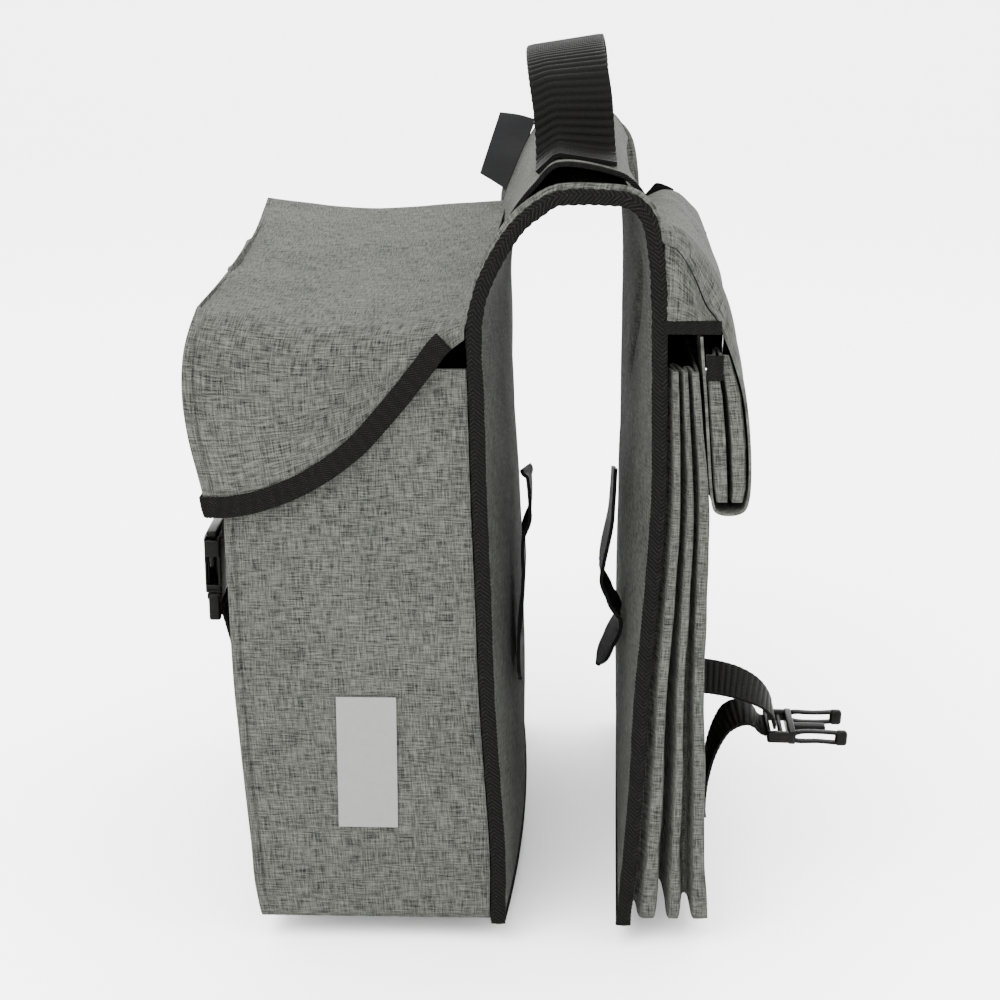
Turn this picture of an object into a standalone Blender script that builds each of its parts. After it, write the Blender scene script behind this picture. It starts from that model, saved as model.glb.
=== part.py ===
"""Double bicycle pannier: one bag full and closed, the other folded flat.

Metres, +Z up. X runs across the bicycle, with the full bag at -X, and Y runs along it.
The two bags stand on the floor, joined by a bridge that lies over the carrier in use.
"""

import math
from collections import namedtuple

import bmesh
import bpy
from mathutils import Matrix, Vector

# Main sizes
BAG_LENGTH = 0.340
SHOULDER_HEIGHT = 0.352
BRIDGE_HEIGHT = 0.4195
HALF_GAP = 0.048
FIT_GAP = 0.0003

# Cloth and panels
PANEL_THICKNESS = 0.004
CLOTH_THICKNESS = 0.0022
FOLDED_CLOTH_THICKNESS = 0.0015
HEM_THICKNESS = 0.0012
HEM_WIDTH = 0.0065
BINDING_WIDTH = 0.0085
BINDING_THICKNESS = 0.0028
BINDING_INNER = 0.0012
LID_TAPE_WIDTH = 0.012
LID_TAPE_THICKNESS = 0.0013
LID_TAPE_TURN = 0.004

# Upper layer of the bridge
BRIDGE_HOLLOW = 0.0135
UPPER_LAYER_INSET = 0.017
UPPER_EDGE_WIDTH = 0.0032

# Handle
HANDLE_WIDTH = 0.044
HANDLE_WEBBING = 0.0024
HANDLE_RISE = 0.0490
HANDLE_LENGTH = 0.226
HANDLE_OFFSET = 0.003
HANDLE_INSET = 0.025

# Full bag and its lid
MOUTH_HEIGHT = 0.330
FULL_DEPTH = 0.1405
FAR_SPREAD = 0.008
FULL_BULGE = 0.004
BASE_CORNER = 0.005
LID_DEPTH = 0.1565
LID_SKIRT = 0.2465
LID_TOP_NEAR = SHOULDER_HEIGHT + 0.006
LID_TOP_FAR = SHOULDER_HEIGHT + 0.021
LID_CORNER = 0.024
LID_SAG = 0.006
LID_CLEARANCE = 0.0010
LID_TAPE_START = 0.045
LID_TAPE_END = 0.975
LID_TAPE_STATIONS = 6
SLOPE_STEP = 0.02

# Flat bag and its lid
FLAT_DEPTH = 0.0275
FLAT_CORNER = 0.012
FOLD_RADIUS = 0.001
FLAP_REACH = 0.053
FLAP_BOTTOM = 0.250
FLAP_DROP = 0.155
FLAP_CREST = 0.017
FLAP_FREE = 0.60
FLAP_DROOP = 0.05
FLAP_MIDDLE = 0.5
GUSSET_PLEAT_DEPTH = 0.020
GUSSET_TAPE = 0.0140

# Straps and buckles
STRAP_SPACING = 0.200
WEBBING_WIDTH = 0.025
WEBBING_THICKNESS = 0.0016
BUCKLE_WIDTH = 0.034
BUCKLE_THICKNESS = 0.0095
SOCKET_LENGTH = 0.0375
SOCKET_WALL = 0.0016
PLUG_THICKNESS = 0.0055
PLUG_BASE = 0.016
PRONG_LENGTH = 0.0325
PRONG_WIDTH = 0.0050
GUIDE_WIDTH = 0.0060
GUIDE_LENGTH = 0.021
LADDER_BAR = 0.0040
LADDER_SLOTS = (0.30, 0.72)
BUCKLE_ROUNDING = 0.0005
PRONG_HEAD = 0.34
BUCKLE_STANDOFF = 0.0160
BUCKLE_TOP = 0.2210
CARRIER_STRAP_WIDTH = 0.045
CARRIER_STRAP_THICKNESS = 0.0022
CARRIER_STRAP_CENTRE = -0.045
BAND_THICKNESS = 0.0020
PATCH_THICKNESS = 0.0006
PATCH_WIDTH = 0.034
PATCH_HEIGHT = 0.080

# Inner faces of the back panels: height share of the shoulder, then X as shares of the half gap
Side = namedtuple("Side", "height left_near left_mid left_far right_near right_mid right_far")
SIDES = (
    Side(0.00, 0.74, 0.54, 0.66, 0.65, 0.74, 0.84),
    Side(0.12, 0.74, 0.55, 0.66, 0.72, 0.72, 0.84),
    Side(0.25, 0.80, 0.56, 0.67, 0.78, 0.70, 0.83),
    Side(0.40, 0.87, 0.59, 0.70, 0.82, 0.70, 0.84),
    Side(0.57, 0.91, 0.65, 0.78, 0.91, 0.70, 0.86),
    Side(0.73, 0.955, 0.70, 0.84, 0.97, 0.71, 0.90),
    Side(0.89, 0.985, 0.74, 0.86, 0.955, 0.72, 0.88),
    Side(1.00, 1.01, 0.75, 0.86, 0.935, 0.72, 0.85),
)

# Underside of the bridge: share of the way across, share of the rise above the shoulders
Arch = namedtuple("Arch", "across rise")
ARCH = (
    Arch(0.040, 0.29), Arch(0.125, 0.55), Arch(0.237, 0.784), Arch(0.350, 0.920),
    Arch(0.460, 1.000), Arch(0.780, 1.000), Arch(0.865, 0.965), Arch(0.930, 0.860),
    Arch(0.972, 0.600), Arch(0.992, 0.300),
)

# Hollow under the upper layer: place along the arch, share of the hollow's height
Lift = namedtuple("Lift", "place share")
LIFTS = (
    Lift(0.00, 0.00), Lift(0.28, 0.03), Lift(0.50, 0.52), Lift(0.66, 1.00), Lift(0.78, 0.86),
    Lift(0.90, 0.40), Lift(1.00, 0.14),
)

# Handle: share of its length, share of its rise, sideways share of its offset, tilt in degrees
Loop = namedtuple("Loop", "along rise sideways tilt")
HANDLE_LOOP = (
    Loop(0.000, 0.00, 1.00, 14.0), Loop(0.105, 0.00, 1.00, 14.0), Loop(0.150, 0.07, 0.95, 14.0),
    Loop(0.172, 0.25, 0.70, 14.0), Loop(0.190, 0.50, 0.20, 13.0), Loop(0.235, 0.78, -0.60, 11.0),
    Loop(0.330, 0.95, -1.10, 9.5), Loop(0.480, 1.00, -1.20, 9.0), Loop(0.640, 0.97, -0.80, 9.0),
    Loop(0.800, 0.80, 0.00, 9.5), Loop(0.885, 0.55, 0.60, 10.0), Loop(0.912, 0.25, 1.00, 12.0),
    Loop(0.930, 0.07, 1.20, 13.0), Loop(1.000, 0.00, 1.20, 14.0),
)

# Depth of the full bag and of its lid, as shares of their named depths at each height share
Depth = namedtuple("Depth", "height share")
FULL_DEPTHS = (Depth(0.0, 0.975), Depth(0.1, 1.005), Depth(0.5, 1.007), Depth(1.0, 0.985))
LID_DEPTHS = (
    Depth(0.0, 0.945), Depth(0.24, 0.973), Depth(0.445, 0.995), Depth(0.645, 1.003),
    Depth(0.808, 0.993), Depth(0.96, 0.967), Depth(1.0, 0.960),
)
FLAT_DEPTHS = (
    Depth(0.0, 1.760), Depth(0.06, 1.660), Depth(0.15, 1.505), Depth(0.32, 1.345),
    Depth(0.60, 1.070), Depth(0.76, 0.950), Depth(0.84, 0.800), Depth(0.91, 0.620), Depth(1.0, 0.560),
)

# Lower edge of the full bag's lid: share of the way out from the panel, share of the skirt's rise
LidEdge = namedtuple("LidEdge", "out rise")
LID_EDGES = (
    LidEdge(0.000, 0.900), LidEdge(0.061, 0.836), LidEdge(0.117, 0.735), LidEdge(0.230, 0.544),
    LidEdge(0.383, 0.325), LidEdge(0.575, 0.150), LidEdge(0.767, 0.045), LidEdge(0.913, 0.004),
    LidEdge(1.000, 0.000),
)
# Top of the lid: share of the way out, dip below the straight line in shares of the corner
LidTop = namedtuple("LidTop", "out dip")
LID_TOPS = (
    LidTop(0.00, -0.02), LidTop(0.30, 0.16), LidTop(0.60, 0.20), LidTop(0.85, 0.06),
    LidTop(1.00, -0.06),
)

# Pleats of the flat bag's gusset: share of the way out, share of the pleats' depth
Pleat = namedtuple("Pleat", "out inset")
FLAT_PLEATS = (
    Pleat(0.000, 0.16), Pleat(0.080, 0.02), Pleat(0.220, 0.00), Pleat(0.340, 0.04),
    Pleat(0.390, 0.88), Pleat(0.420, 0.88), Pleat(0.470, 0.04), Pleat(0.560, 0.00),
    Pleat(0.640, 0.05), Pleat(0.700, 0.60), Pleat(0.730, 0.60), Pleat(0.790, 0.06),
    Pleat(0.880, 0.00), Pleat(1.000, 0.02),
)

# Flat bag's lid in section: X shares of the flap's reach, Z shares of its drop
Flap = namedtuple("Flap", "near_x near_z crest_x crest_z far_x far_z")
FLAP_SECTION = (
    Flap(0.030, 0.966, -0.060, 1.010, 0.060, 0.787),
    Flap(0.151, 0.945, 0.150, 1.005, 0.260, 0.825),
    Flap(0.275, 0.885, 0.280, 0.975, 0.400, 0.838),
    Flap(0.370, 0.820, 0.400, 0.930, 0.560, 0.826),
    Flap(0.457, 0.750, 0.540, 0.860, 0.700, 0.785),
    Flap(0.570, 0.700, 0.660, 0.770, 0.830, 0.735),
    Flap(0.625, 0.655, 0.720, 0.690, 1.050, 0.545),
    Flap(0.743, 0.557, 0.800, 0.570, 1.138, 0.433),
    Flap(0.855, 0.433, 0.885, 0.433, 1.200, 0.320),
    Flap(0.923, 0.265, 0.940, 0.265, 1.238, 0.200),
    Flap(0.942, 0.095, 0.952, 0.095, 1.235, 0.085),
    Flap(0.900, 0.020, 0.910, 0.020, 1.180, 0.020),
    Flap(0.800, 0.000, 0.810, 0.000, 1.060, 0.000),
    Flap(0.640, 0.000, 0.650, 0.000, 0.880, 0.000),
    Flap(0.560, 0.020, 0.570, 0.020, 0.800, 0.020),
    Flap(0.517, 0.105, 0.527, 0.105, 0.760, 0.105),
    Flap(0.478, 0.265, 0.488, 0.265, 0.720, 0.265),
    Flap(0.440, 0.420, 0.450, 0.420, 0.680, 0.420),
    Flap(0.408, 0.530, 0.418, 0.530, 0.650, 0.530),
    Flap(0.392, 0.590, 0.402, 0.590, 0.630, 0.590),
)
# Near end of the lid: share of the way to its crest, share of the crest's section
Rise = namedtuple("Rise", "way share")
FLAP_RISES = (Rise(0.0, 0.0), Rise(0.4, 0.65), Rise(1.0, 1.0))
FLAP_TOP = slice(0, 7)
FLAP_OUTER = slice(5, 12)
FLAP_INNER = slice(14, 20)
# Pleated end gusset inside the fold: share of the way out, share of the pleat's depth
GUSSET_PLEATS = (
    Pleat(0.00, 0.08), Pleat(0.06, 0.00), Pleat(0.34, 0.00), Pleat(0.42, 0.06),
    Pleat(0.50, 0.95), Pleat(0.58, 0.06), Pleat(0.66, 0.00), Pleat(0.94, 0.00), Pleat(1.00, 0.08),
)
GUSSET_HEIGHTS = (0.045, 0.150, 0.300, 0.430, 0.575)
TAPE_SHARES = (0.00, 0.30, 0.62)
GUSSET_SETBACK = 0.0012
GUSSET_REST = 0.0009
# Closed end under the lid's top: from the panel to the corner, above the bound border
END_BORDER = 0.672
END_GAP = 0.0005
END_SHARES = (0.070, 0.160, 0.250, 0.340, 0.430, 0.500)

# Straps: X beyond the bag's outer face and Z in shares of the strap's reach, tilt in degrees
Strap = namedtuple("Strap", "out height tilt")
LOOSE_STRAP_LENGTH = 0.085
LOOSE_STRAP = (
    Strap(0.010, 1.510, 50.0), Strap(0.050, 1.509, 50.0), Strap(0.170, 1.490, 45.0),
    Strap(0.280, 1.460, 38.0), Strap(0.380, 1.415, 29.0), Strap(0.458, 1.360, 20.0),
    Strap(0.515, 1.290, 11.0), Strap(0.537, 1.225, 5.0), Strap(0.538, 1.172, 4.0),
)
LOOSE_TAIL = (
    Strap(0.432, 1.160, 4.0), Strap(0.400, 1.205, 8.0), Strap(0.345, 1.235, 12.0),
    Strap(0.265, 1.225, 18.0), Strap(0.195, 1.165, 22.0), Strap(0.125, 1.010, 22.0),
    Strap(0.085, 0.830, 18.0), Strap(0.070, 0.680, 12.0), Strap(0.068, 0.560, 8.0),
    Strap(0.076, 0.490, 6.0),
)
WEBBING_BEND = Strap(0.60, 0.45, 0.0)
PLUG_OUT = 0.485
PLUG_HEIGHT = 1.135
PLUG_TILT = 4.0
PLUG_DIP = 91.0
STRAP_ROOT = 0.127
WEBBING_FOOT = 0.118
HANGING_FOOT = 0.066
HANGING_STANDOFF = 0.005
SOCKET_COVER = 1.00
SOCKET_WINDOW = 0.62
WEBBING_SEWN = 0.018
SOCKET_REST = 0.0012
SOCKET_BAR = 0.0030
CARRIER_LEAN = -0.030
FLAP_TAPE_WIDTH = 0.0075
PATCH_MIDDLE = 0.100
PATCH_OUT = 0.47

# Carrier straps on the inner faces: stand off the panel and height, shares of the strap's length
CARRIER_STRAP_LENGTH = 0.126
CARRIER_STRAP_FOOT = 0.115
Curl = namedtuple("Curl", "off height")
LEFT_CURL = (
    Curl(0.050, 1.000), Curl(0.066, 0.960), Curl(0.066, 0.800), Curl(0.035, 0.690),
    Curl(0.030, 0.520), Curl(0.018, 0.380), Curl(0.000, 0.220), Curl(0.000, 0.000),
)
RIGHT_CURL = (
    Curl(0.030, 1.000), Curl(0.036, 0.880), Curl(0.045, 0.770), Curl(0.085, 0.520),
    Curl(0.045, 0.410), Curl(0.000, 0.310), Curl(0.045, 0.190), Curl(0.100, 0.070),
)

# End of the band beside the bridge's left slope: X shares of the half gap, Z shares of the rise
Tab = namedtuple("Tab", "low_x low_z high_x high_z")
BAND_END = (
    Tab(-0.862, 0.392, -0.455, 1.100), Tab(-1.052, 0.480, -0.712, 1.150), Tab(-1.246, 0.563, -0.963, 1.172),
)
BAND_PLACE = 0.1569
# Bound corner turned up on the flat lid's far end: X shares of the reach, Z shares of the drop
BOUND_CORNER = (
    Tab(0.119, 0.7985, 0.119, 0.815), Tab(0.200, 0.8145, 0.205, 0.845), Tab(0.274, 0.8305, 0.280, 0.872),
    Tab(0.400, 0.8385, 0.405, 0.862), Tab(0.504, 0.8325, 0.506, 0.846),
)
CORNER_PLACE = 0.160

# Colours and finishes: red, green, blue, roughness
Finish = namedtuple("Finish", "red green blue roughness")
FINISHES = {
    "melange_cloth": Finish(0.18, 0.20, 0.19, 0.90),
    "black_tape": Finish(0.025, 0.024, 0.022, 0.85),
    "black_webbing": Finish(0.016, 0.016, 0.015, 0.60),
    "charcoal_band": Finish(0.032, 0.032, 0.034, 0.80),
    "black_plastic": Finish(0.020, 0.020, 0.021, 0.40),
    "reflective": Finish(0.50, 0.50, 0.52, 0.35),
}

HALF_LENGTH = BAG_LENGTH / 2
LEFT = -1
RIGHT = 1
CURVE_SLACK = 0.0008
MERGE_DISTANCE = 0.000001
TAPE_APPROACH = 0.020
LENGTH_STATIONS = 9
UPPER_START = 7
UPPER_END = 15
HANDLE_SEAT = 0.0012
HANDLE_FREE_RISE = 0.5
HANDLE_STEPS = 10
FULL_COLUMNS = (0.0, 0.25, 0.5, 0.75, 0.97, 1.0)
SIDE_RUN = 5
CORNER_RUN = 3
MIDDLE_RUN = 6


def clear_scene():
    for thing in list(bpy.data.objects):
        bpy.data.objects.remove(thing, do_unlink=True)


def make_collection(name, hidden=False):
    group = bpy.data.collections.new(name)
    bpy.context.scene.collection.children.link(group)
    group.hide_render = hidden
    return group


def make_material(name):
    finish = FINISHES[name]
    material = bpy.data.materials.new(name)
    material.use_nodes = True
    shader = material.node_tree.nodes["Principled BSDF"]
    shader.inputs["Base Color"].default_value = (finish.red, finish.green, finish.blue, 1.0)
    shader.inputs["Roughness"].default_value = finish.roughness
    shader.inputs["Metallic"].default_value = 0.0
    return material


def mix(start, end, share):
    return start + (end - start) * share


def smooth_column(rows, column, at):
    """Value of a table's column at a place between its rows, on a smooth curve."""
    keys = [row[0] for row in rows]
    values = [getattr(row, column) for row in rows]
    if at <= keys[0]:
        return values[0]
    if at >= keys[-1]:
        return values[-1]
    slot = max(k for k in range(len(keys) - 1) if keys[k] <= at)

    def slope(k):
        low, high = max(k - 1, 0), min(k + 1, len(keys) - 1)
        return (values[high] - values[low]) / (keys[high] - keys[low])

    span = keys[slot + 1] - keys[slot]
    t = (at - keys[slot]) / span
    start, end = slope(slot) * span, slope(slot + 1) * span
    rise = values[slot + 1] - values[slot]
    return values[slot] + t * (start + t * (3 * rise - 2 * start - end + t * (start + end - 2 * rise)))


def add_object(name, mesh, material, group):
    thing = bpy.data.objects.new(name, mesh)
    mesh.materials.clear()
    mesh.materials.append(material)
    mesh.shade_smooth()
    mesh.set_sharp_from_angle(angle=math.radians(38.0))
    group.objects.link(thing)
    return thing


def mesh_from(name, points, faces):
    shape = bmesh.new()
    corners = [shape.verts.new(point) for point in points]
    for face in faces:
        shape.faces.new([corners[k] for k in face])
    bmesh.ops.recalc_face_normals(shape, faces=shape.faces)
    if shape.calc_volume(signed=True) < 0.0:
        bmesh.ops.reverse_faces(shape, faces=shape.faces)
    mesh = bpy.data.meshes.new(name)
    shape.to_mesh(mesh)
    shape.free()
    return mesh


def band_loft(name, sections, material, group):
    """Closed solid through band-shaped sections, each a pair of rows of facing points."""
    count = len(sections[0][0])
    points = []
    for lower, upper in sections:
        points.extend(lower)
        points.extend(reversed(upper))
    ring = 2 * count
    faces = []
    for s in range(len(sections) - 1):
        here, there = s * ring, (s + 1) * ring
        for k in range(ring):
            after = (k + 1) % ring
            faces.append((here + k, here + after, there + after, there + k))
    for base in (0, (len(sections) - 1) * ring):
        for k in range(count - 1):
            faces.append((base + k, base + k + 1, base + ring - 2 - k, base + ring - 1 - k))
    return add_object(name, mesh_from(name, points, faces), material, group)


def ribbon(name, stations, width, thickness, material, group):
    """Flat strap through stations of (centre, direction across, direction of its face)."""
    sections = []
    for centre, across, facing in stations:
        half = across.normalized() * (width / 2)
        rise = facing.normalized() * (thickness / 2)
        lower = [centre - half - rise, centre + half - rise]
        upper = [centre - half + rise, centre + half + rise]
        sections.append((lower, upper))
    return band_loft(name, sections, material, group)


def offset_row(row, distance, plane=(0, -1, 0)):
    """Points of a flat outline, each moved to its left in the plane by a distance."""
    moved = []
    for k, point in enumerate(row):
        before = row[max(k - 1, 0)]
        after = row[min(k + 1, len(row) - 1)]
        ahead = (after - point).normalized() if after != point else Vector()
        behind = (point - before).normalized() if before != point else Vector()
        along = (ahead + behind).normalized()
        normal = Vector(plane).cross(along)
        reference = ahead if ahead.length > 0.0 else behind
        widen = 1.0 / max(along.dot(reference), 0.7)
        moved.append(point + normal * distance * widen)
    return moved


def panel_x(side, y, z):
    """X of a back panel's inner face."""
    word = "left" if side == LEFT else "right"
    height = min(max(z / SHOULDER_HEIGHT, 0.0), 1.0)
    near, mid, far = (smooth_column(SIDES, word + "_" + place, height) for place in ("near", "mid", "far"))
    t = min(max(y / BAG_LENGTH + 0.5, 0.0), 1.0)
    share = near * (1 - t) * (1 - 2 * t) + 4 * mid * t * (1 - t) + far * t * (2 * t - 1)
    return side * HALF_GAP * share


def saddle_row(y, foot=0.0):
    """Underside of the saddle panel in section, from the left foot over to the right foot."""
    heights = [foot] + [row.height * SHOULDER_HEIGHT for row in SIDES[1:]]
    left = [Vector((panel_x(LEFT, y, z), y, z)) for z in heights]
    right = [Vector((panel_x(RIGHT, y, z), y, z)) for z in reversed(heights)]
    start, end = left[-1], right[0]
    rise = BRIDGE_HEIGHT - SHOULDER_HEIGHT
    bridge = [
        Vector((mix(start.x, end.x, row.across), y, SHOULDER_HEIGHT + row.rise * rise)) for row in ARCH
    ]
    return left + bridge + right


def outside_x(side, y, z, depth):
    """X of a bag's outside, a depth beyond the straight line between the back panel's two ends."""
    near, far = panel_x(side, -HALF_LENGTH, z), panel_x(side, HALF_LENGTH, z)
    if side == LEFT:
        far -= FAR_SPREAD
    along = min(max(y / BAG_LENGTH + 0.5, 0.0), 1.0)
    return mix(near, far, along) + side * (PANEL_THICKNESS + depth)


def bag_edge_x(side, y, z):
    """X of a bag's or lid's edge where it meets the back panel, clear of the tape at the ends."""
    reach = (abs(y) - (HALF_LENGTH - TAPE_APPROACH)) / (TAPE_APPROACH - BINDING_THICKNESS - FIT_GAP)
    share = min(max(reach, 0.0), 1.0)
    proud = (BINDING_WIDTH - BINDING_INNER - PANEL_THICKNESS) * share * share * (3 - 2 * share)
    return panel_x(side, y, z) + side * (PANEL_THICKNESS + CURVE_SLACK + proud)


def length_stations(start, end, count):
    return [mix(start, end, k / (count - 1)) for k in range(count)]


def level_feet(row, foot):
    for end in (0, -1):
        row[end].z = foot
    return row


def make_saddle_panel(materials, group):
    end = HALF_LENGTH - BINDING_THICKNESS
    foot = HEM_THICKNESS + FIT_GAP
    sections = []
    for y in length_stations(-end, end, LENGTH_STATIONS):
        inner = saddle_row(y, foot)
        sections.append((inner, level_feet(offset_row(inner, PANEL_THICKNESS), foot)))
    return band_loft("saddle_panel", sections, materials["melange_cloth"], group)


def make_end_binding(name, sign, materials, group):
    """Tape round one end of the saddle panel, from foot to foot."""
    inside = sign * (HALF_LENGTH - BINDING_THICKNESS + FIT_GAP)
    outside = sign * HALF_LENGTH
    sections = []
    for y in (inside, outside):
        row = saddle_row(inside)
        low = level_feet(offset_row(row, -BINDING_INNER), 0.0)
        high = level_feet(offset_row(row, BINDING_WIDTH - BINDING_INNER), 0.0)
        for point in low + high:
            point.y = y
        sections.append((low, high))
    return band_loft(name, sections, materials["black_tape"], group)


def make_hem(name, side, materials, group):
    end = HALF_LENGTH - BINDING_THICKNESS
    stations = []
    for y in length_stations(-end, end, LENGTH_STATIONS):
        x = panel_x(side, y, 0.0) + side * (HEM_WIDTH / 2 - HEM_THICKNESS)
        stations.append((Vector((x, y, HEM_THICKNESS / 2)), Vector((1, 0, 0)), Vector((0, 0, 1))))
    return ribbon(name, stations, HEM_WIDTH, HEM_THICKNESS, materials["black_tape"], group)


def upper_row(y):
    """Lower face of the bridge's upper layer in section."""
    base = offset_row(saddle_row(y), PANEL_THICKNESS)[UPPER_START:UPPER_END + 1]
    lengths = [0.0]
    for before, after in zip(base, base[1:]):
        lengths.append(lengths[-1] + (after - before).length)
    lifted = []
    for point, length in zip(base, lengths):
        lift = max(smooth_column(LIFTS, "share", length / lengths[-1]), 0.0) * BRIDGE_HOLLOW
        lifted.append(point + Vector((0.0, 0.0, lift)))
    return offset_row(lifted, CURVE_SLACK)


def upper_stations():
    end = HALF_LENGTH - UPPER_LAYER_INSET
    return length_stations(-end, end, LENGTH_STATIONS)


def upper_top(x, y, clear):
    """Height, at a place, of a surface that lies clear of the upper layer's top face."""
    stations = upper_stations()
    slot = max((k for k in range(len(stations) - 1) if stations[k] <= y), default=0)
    along = (y - stations[slot]) / (stations[slot + 1] - stations[slot])
    ends = [offset_row(upper_row(stations[k]), CLOTH_THICKNESS + clear) for k in (slot, slot + 1)]
    row = [start.lerp(end, along) for start, end in zip(*ends)]
    for before, after in zip(row, row[1:]):
        if before.x <= x <= after.x:
            return mix(before.z, after.z, (x - before.x) / (after.x - before.x))
    return row[-1].z


def make_handle_panel(materials, group):
    sections = []
    for y in upper_stations():
        lower = upper_row(y)
        sections.append((lower, offset_row(lower, CLOTH_THICKNESS)))
    return band_loft("handle_panel", sections, materials["melange_cloth"], group)


def make_upper_edge(name, sign, materials, group):
    """Thin bound edge at one end of the upper layer."""
    inside = sign * (HALF_LENGTH - UPPER_LAYER_INSET + FIT_GAP)
    outside = inside + sign * UPPER_EDGE_WIDTH
    sections = []
    for y in (inside, outside):
        lower = upper_row(inside)
        upper = offset_row(lower, CLOTH_THICKNESS)
        for point in lower + upper:
            point.y = y
        sections.append((lower, upper))
    return band_loft(name, sections, materials["black_tape"], group)


def make_handle(materials, group):
    """Loop of wide webbing whose ends lie sewn on the upper layer and follow its crown."""
    clear = HANDLE_WEBBING / 2 + HANDLE_SEAT
    rows = []
    for row in HANDLE_LOOP:
        y = -HALF_LENGTH + HANDLE_INSET + row.along * HANDLE_LENGTH
        middle = HANDLE_OFFSET * row.sideways
        tilt = math.radians(row.tilt)
        free = min(row.rise / HANDLE_FREE_RISE, 1.0)
        free = free * free * (3 - 2 * free)
        line = []
        for k in range(HANDLE_STEPS + 1):
            reach = (k / HANDLE_STEPS - 0.5) * HANDLE_WIDTH
            x = middle + reach * math.cos(tilt)
            flat = upper_top(middle, y, clear) + reach * math.sin(tilt)
            base = mix(upper_top(x, y, clear), flat, free)
            line.append(Vector((x, y, base + row.rise * HANDLE_RISE)))
        rows.append(line)
    sections = []
    for k, line in enumerate(rows):
        before, after = rows[max(k - 1, 0)], rows[min(k + 1, len(rows) - 1)]
        lower, upper = [], []
        for j, point in enumerate(line):
            along = (after[j] - before[j]).normalized()
            across = (line[min(j + 1, HANDLE_STEPS)] - line[max(j - 1, 0)]).normalized()
            facing = across.cross(along).normalized() * (HANDLE_WEBBING / 2)
            lower.append(point - facing)
            upper.append(point + facing)
        sections.append((lower, upper))
    return band_loft("handle", sections, materials["black_webbing"], group)


def upright_tab(name, rows, origin, scale, y, material, group):
    """Flat piece facing the near side: rows give its lower and upper edge from the origin."""
    sections = []
    for row in rows:
        low = Vector((origin[0] + row.low_x * scale[0], y, origin[1] + row.low_z * scale[1]))
        high = Vector((origin[0] + row.high_x * scale[0], y, origin[1] + row.high_z * scale[1]))
        back = Vector((0.0, BAND_THICKNESS, 0.0))
        sections.append(([low, high], [low + back, high + back]))
    return band_loft(name, sections, material, group)


def make_band_end(materials, group):
    """End of the band that stands out beside the bridge's left slope."""
    rise = BRIDGE_HEIGHT - SHOULDER_HEIGHT
    return upright_tab("left_strap_tab", BAND_END, (0.0, SHOULDER_HEIGHT), (HALF_GAP, rise), BAND_PLACE,
                       materials["charcoal_band"], group)


def make_bound_corner(materials, group):
    """Black bound corner turned up on the far end of the flat bag's lid."""
    root = flap_place(0.0, 0.0, CORNER_PLACE)
    return upright_tab("right_lid_bound_corner", BOUND_CORNER, (root.x, root.z), (FLAP_REACH, FLAP_DROP),
                       CORNER_PLACE, materials["black_tape"], group)


def wrapped_shell(name, side, columns, near_path, far_path, panel_point, thickness, material, group,
                  sag=0.0):
    """Gusset strip swept round an end, a middle and the other end, closed by the outer panel.

    columns are shares from the back panel out to the outer panel. near_path and far_path give
    the points of a column at each station down one end; the stations match in pairs. sag draws
    the middle in towards the back panel.
    """
    points, faces, index = [], [], {}

    def corner(key, place):
        if key not in index:
            index[key] = len(points)
            points.append(place)
        return index[key]

    rows = len(near_path(columns[0]))
    strips = []
    for c, share in enumerate(columns):
        near, far = near_path(share), far_path(share)
        strip = [corner(("near", c, k), near[k]) for k in range(rows)]
        for j in range(1, MIDDLE_RUN):
            place = near[-1].lerp(far[-1], j / MIDDLE_RUN)
            place.x -= side * sag * share * math.sin(math.pi * j / MIDDLE_RUN)
            strip.append(corner(("middle", c, j), place))
        strip.extend(corner(("far", c, k), far[k]) for k in reversed(range(rows)))
        strips.append(strip)
    for left, right in zip(strips, strips[1:]):
        for k in range(len(left) - 1):
            faces.append((left[k], left[k + 1], right[k + 1], right[k]))
    last = len(columns) - 1
    near, far = near_path(columns[-1]), far_path(columns[-1])
    grid = []
    for k in range(rows):
        line = [index[("near", last, k)]]
        for j in range(1, MIDDLE_RUN):
            if k == rows - 1:
                line.append(index[("middle", last, j)])
            else:
                line.append(corner(("panel", k, j), panel_point(near[k], far[k], j / MIDDLE_RUN)))
        line.append(index[("far", last, k)])
        grid.append(line)
    for above, below in zip(grid, grid[1:]):
        for j in range(MIDDLE_RUN):
            faces.append((above[j], above[j + 1], below[j + 1], below[j]))

    shape = bmesh.new()
    corners = [shape.verts.new(point) for point in points]
    for face in faces:
        shape.faces.new([corners[k] for k in face])
    bmesh.ops.recalc_face_normals(shape, faces=shape.faces)
    outer = sum((face.normal.x * face.calc_area() for face in shape.faces), 0.0)
    if outer * side < 0.0:
        bmesh.ops.reverse_faces(shape, faces=shape.faces)
    mesh = bpy.data.meshes.new(name)
    shape.to_mesh(mesh)
    shape.free()
    thing = add_object(name, mesh, material, group)
    wall = thing.modifiers.new("wall", "SOLIDIFY")
    wall.thickness = thickness
    wall.offset = -1.0
    wall.use_even_offset = True
    wall.use_quality_normals = True
    return thing


def rounded_run(start_z, corner_z, end, radius, sign, inset=0.0, turn=1):
    """Stations (y, z) from a mouth to the middle of one end, round a corner of the given radius.

    turn is 1 where the run goes down to a base and -1 where it goes up to a top.
    """
    run = []
    bend = max(radius - inset, FOLD_RADIUS)
    bend_y = end - inset - bend
    bend_z = corner_z + turn * (inset + bend)
    for k in range(SIDE_RUN):
        run.append((sign * (end - inset), mix(start_z, bend_z, k / SIDE_RUN)))
    for k in range(CORNER_RUN + 1):
        angle = math.pi / 2 * k / CORNER_RUN
        y = bend_y + bend * math.cos(angle)
        z = bend_z - turn * bend * math.sin(angle)
        run.append((sign * y, z))
    return run


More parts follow.
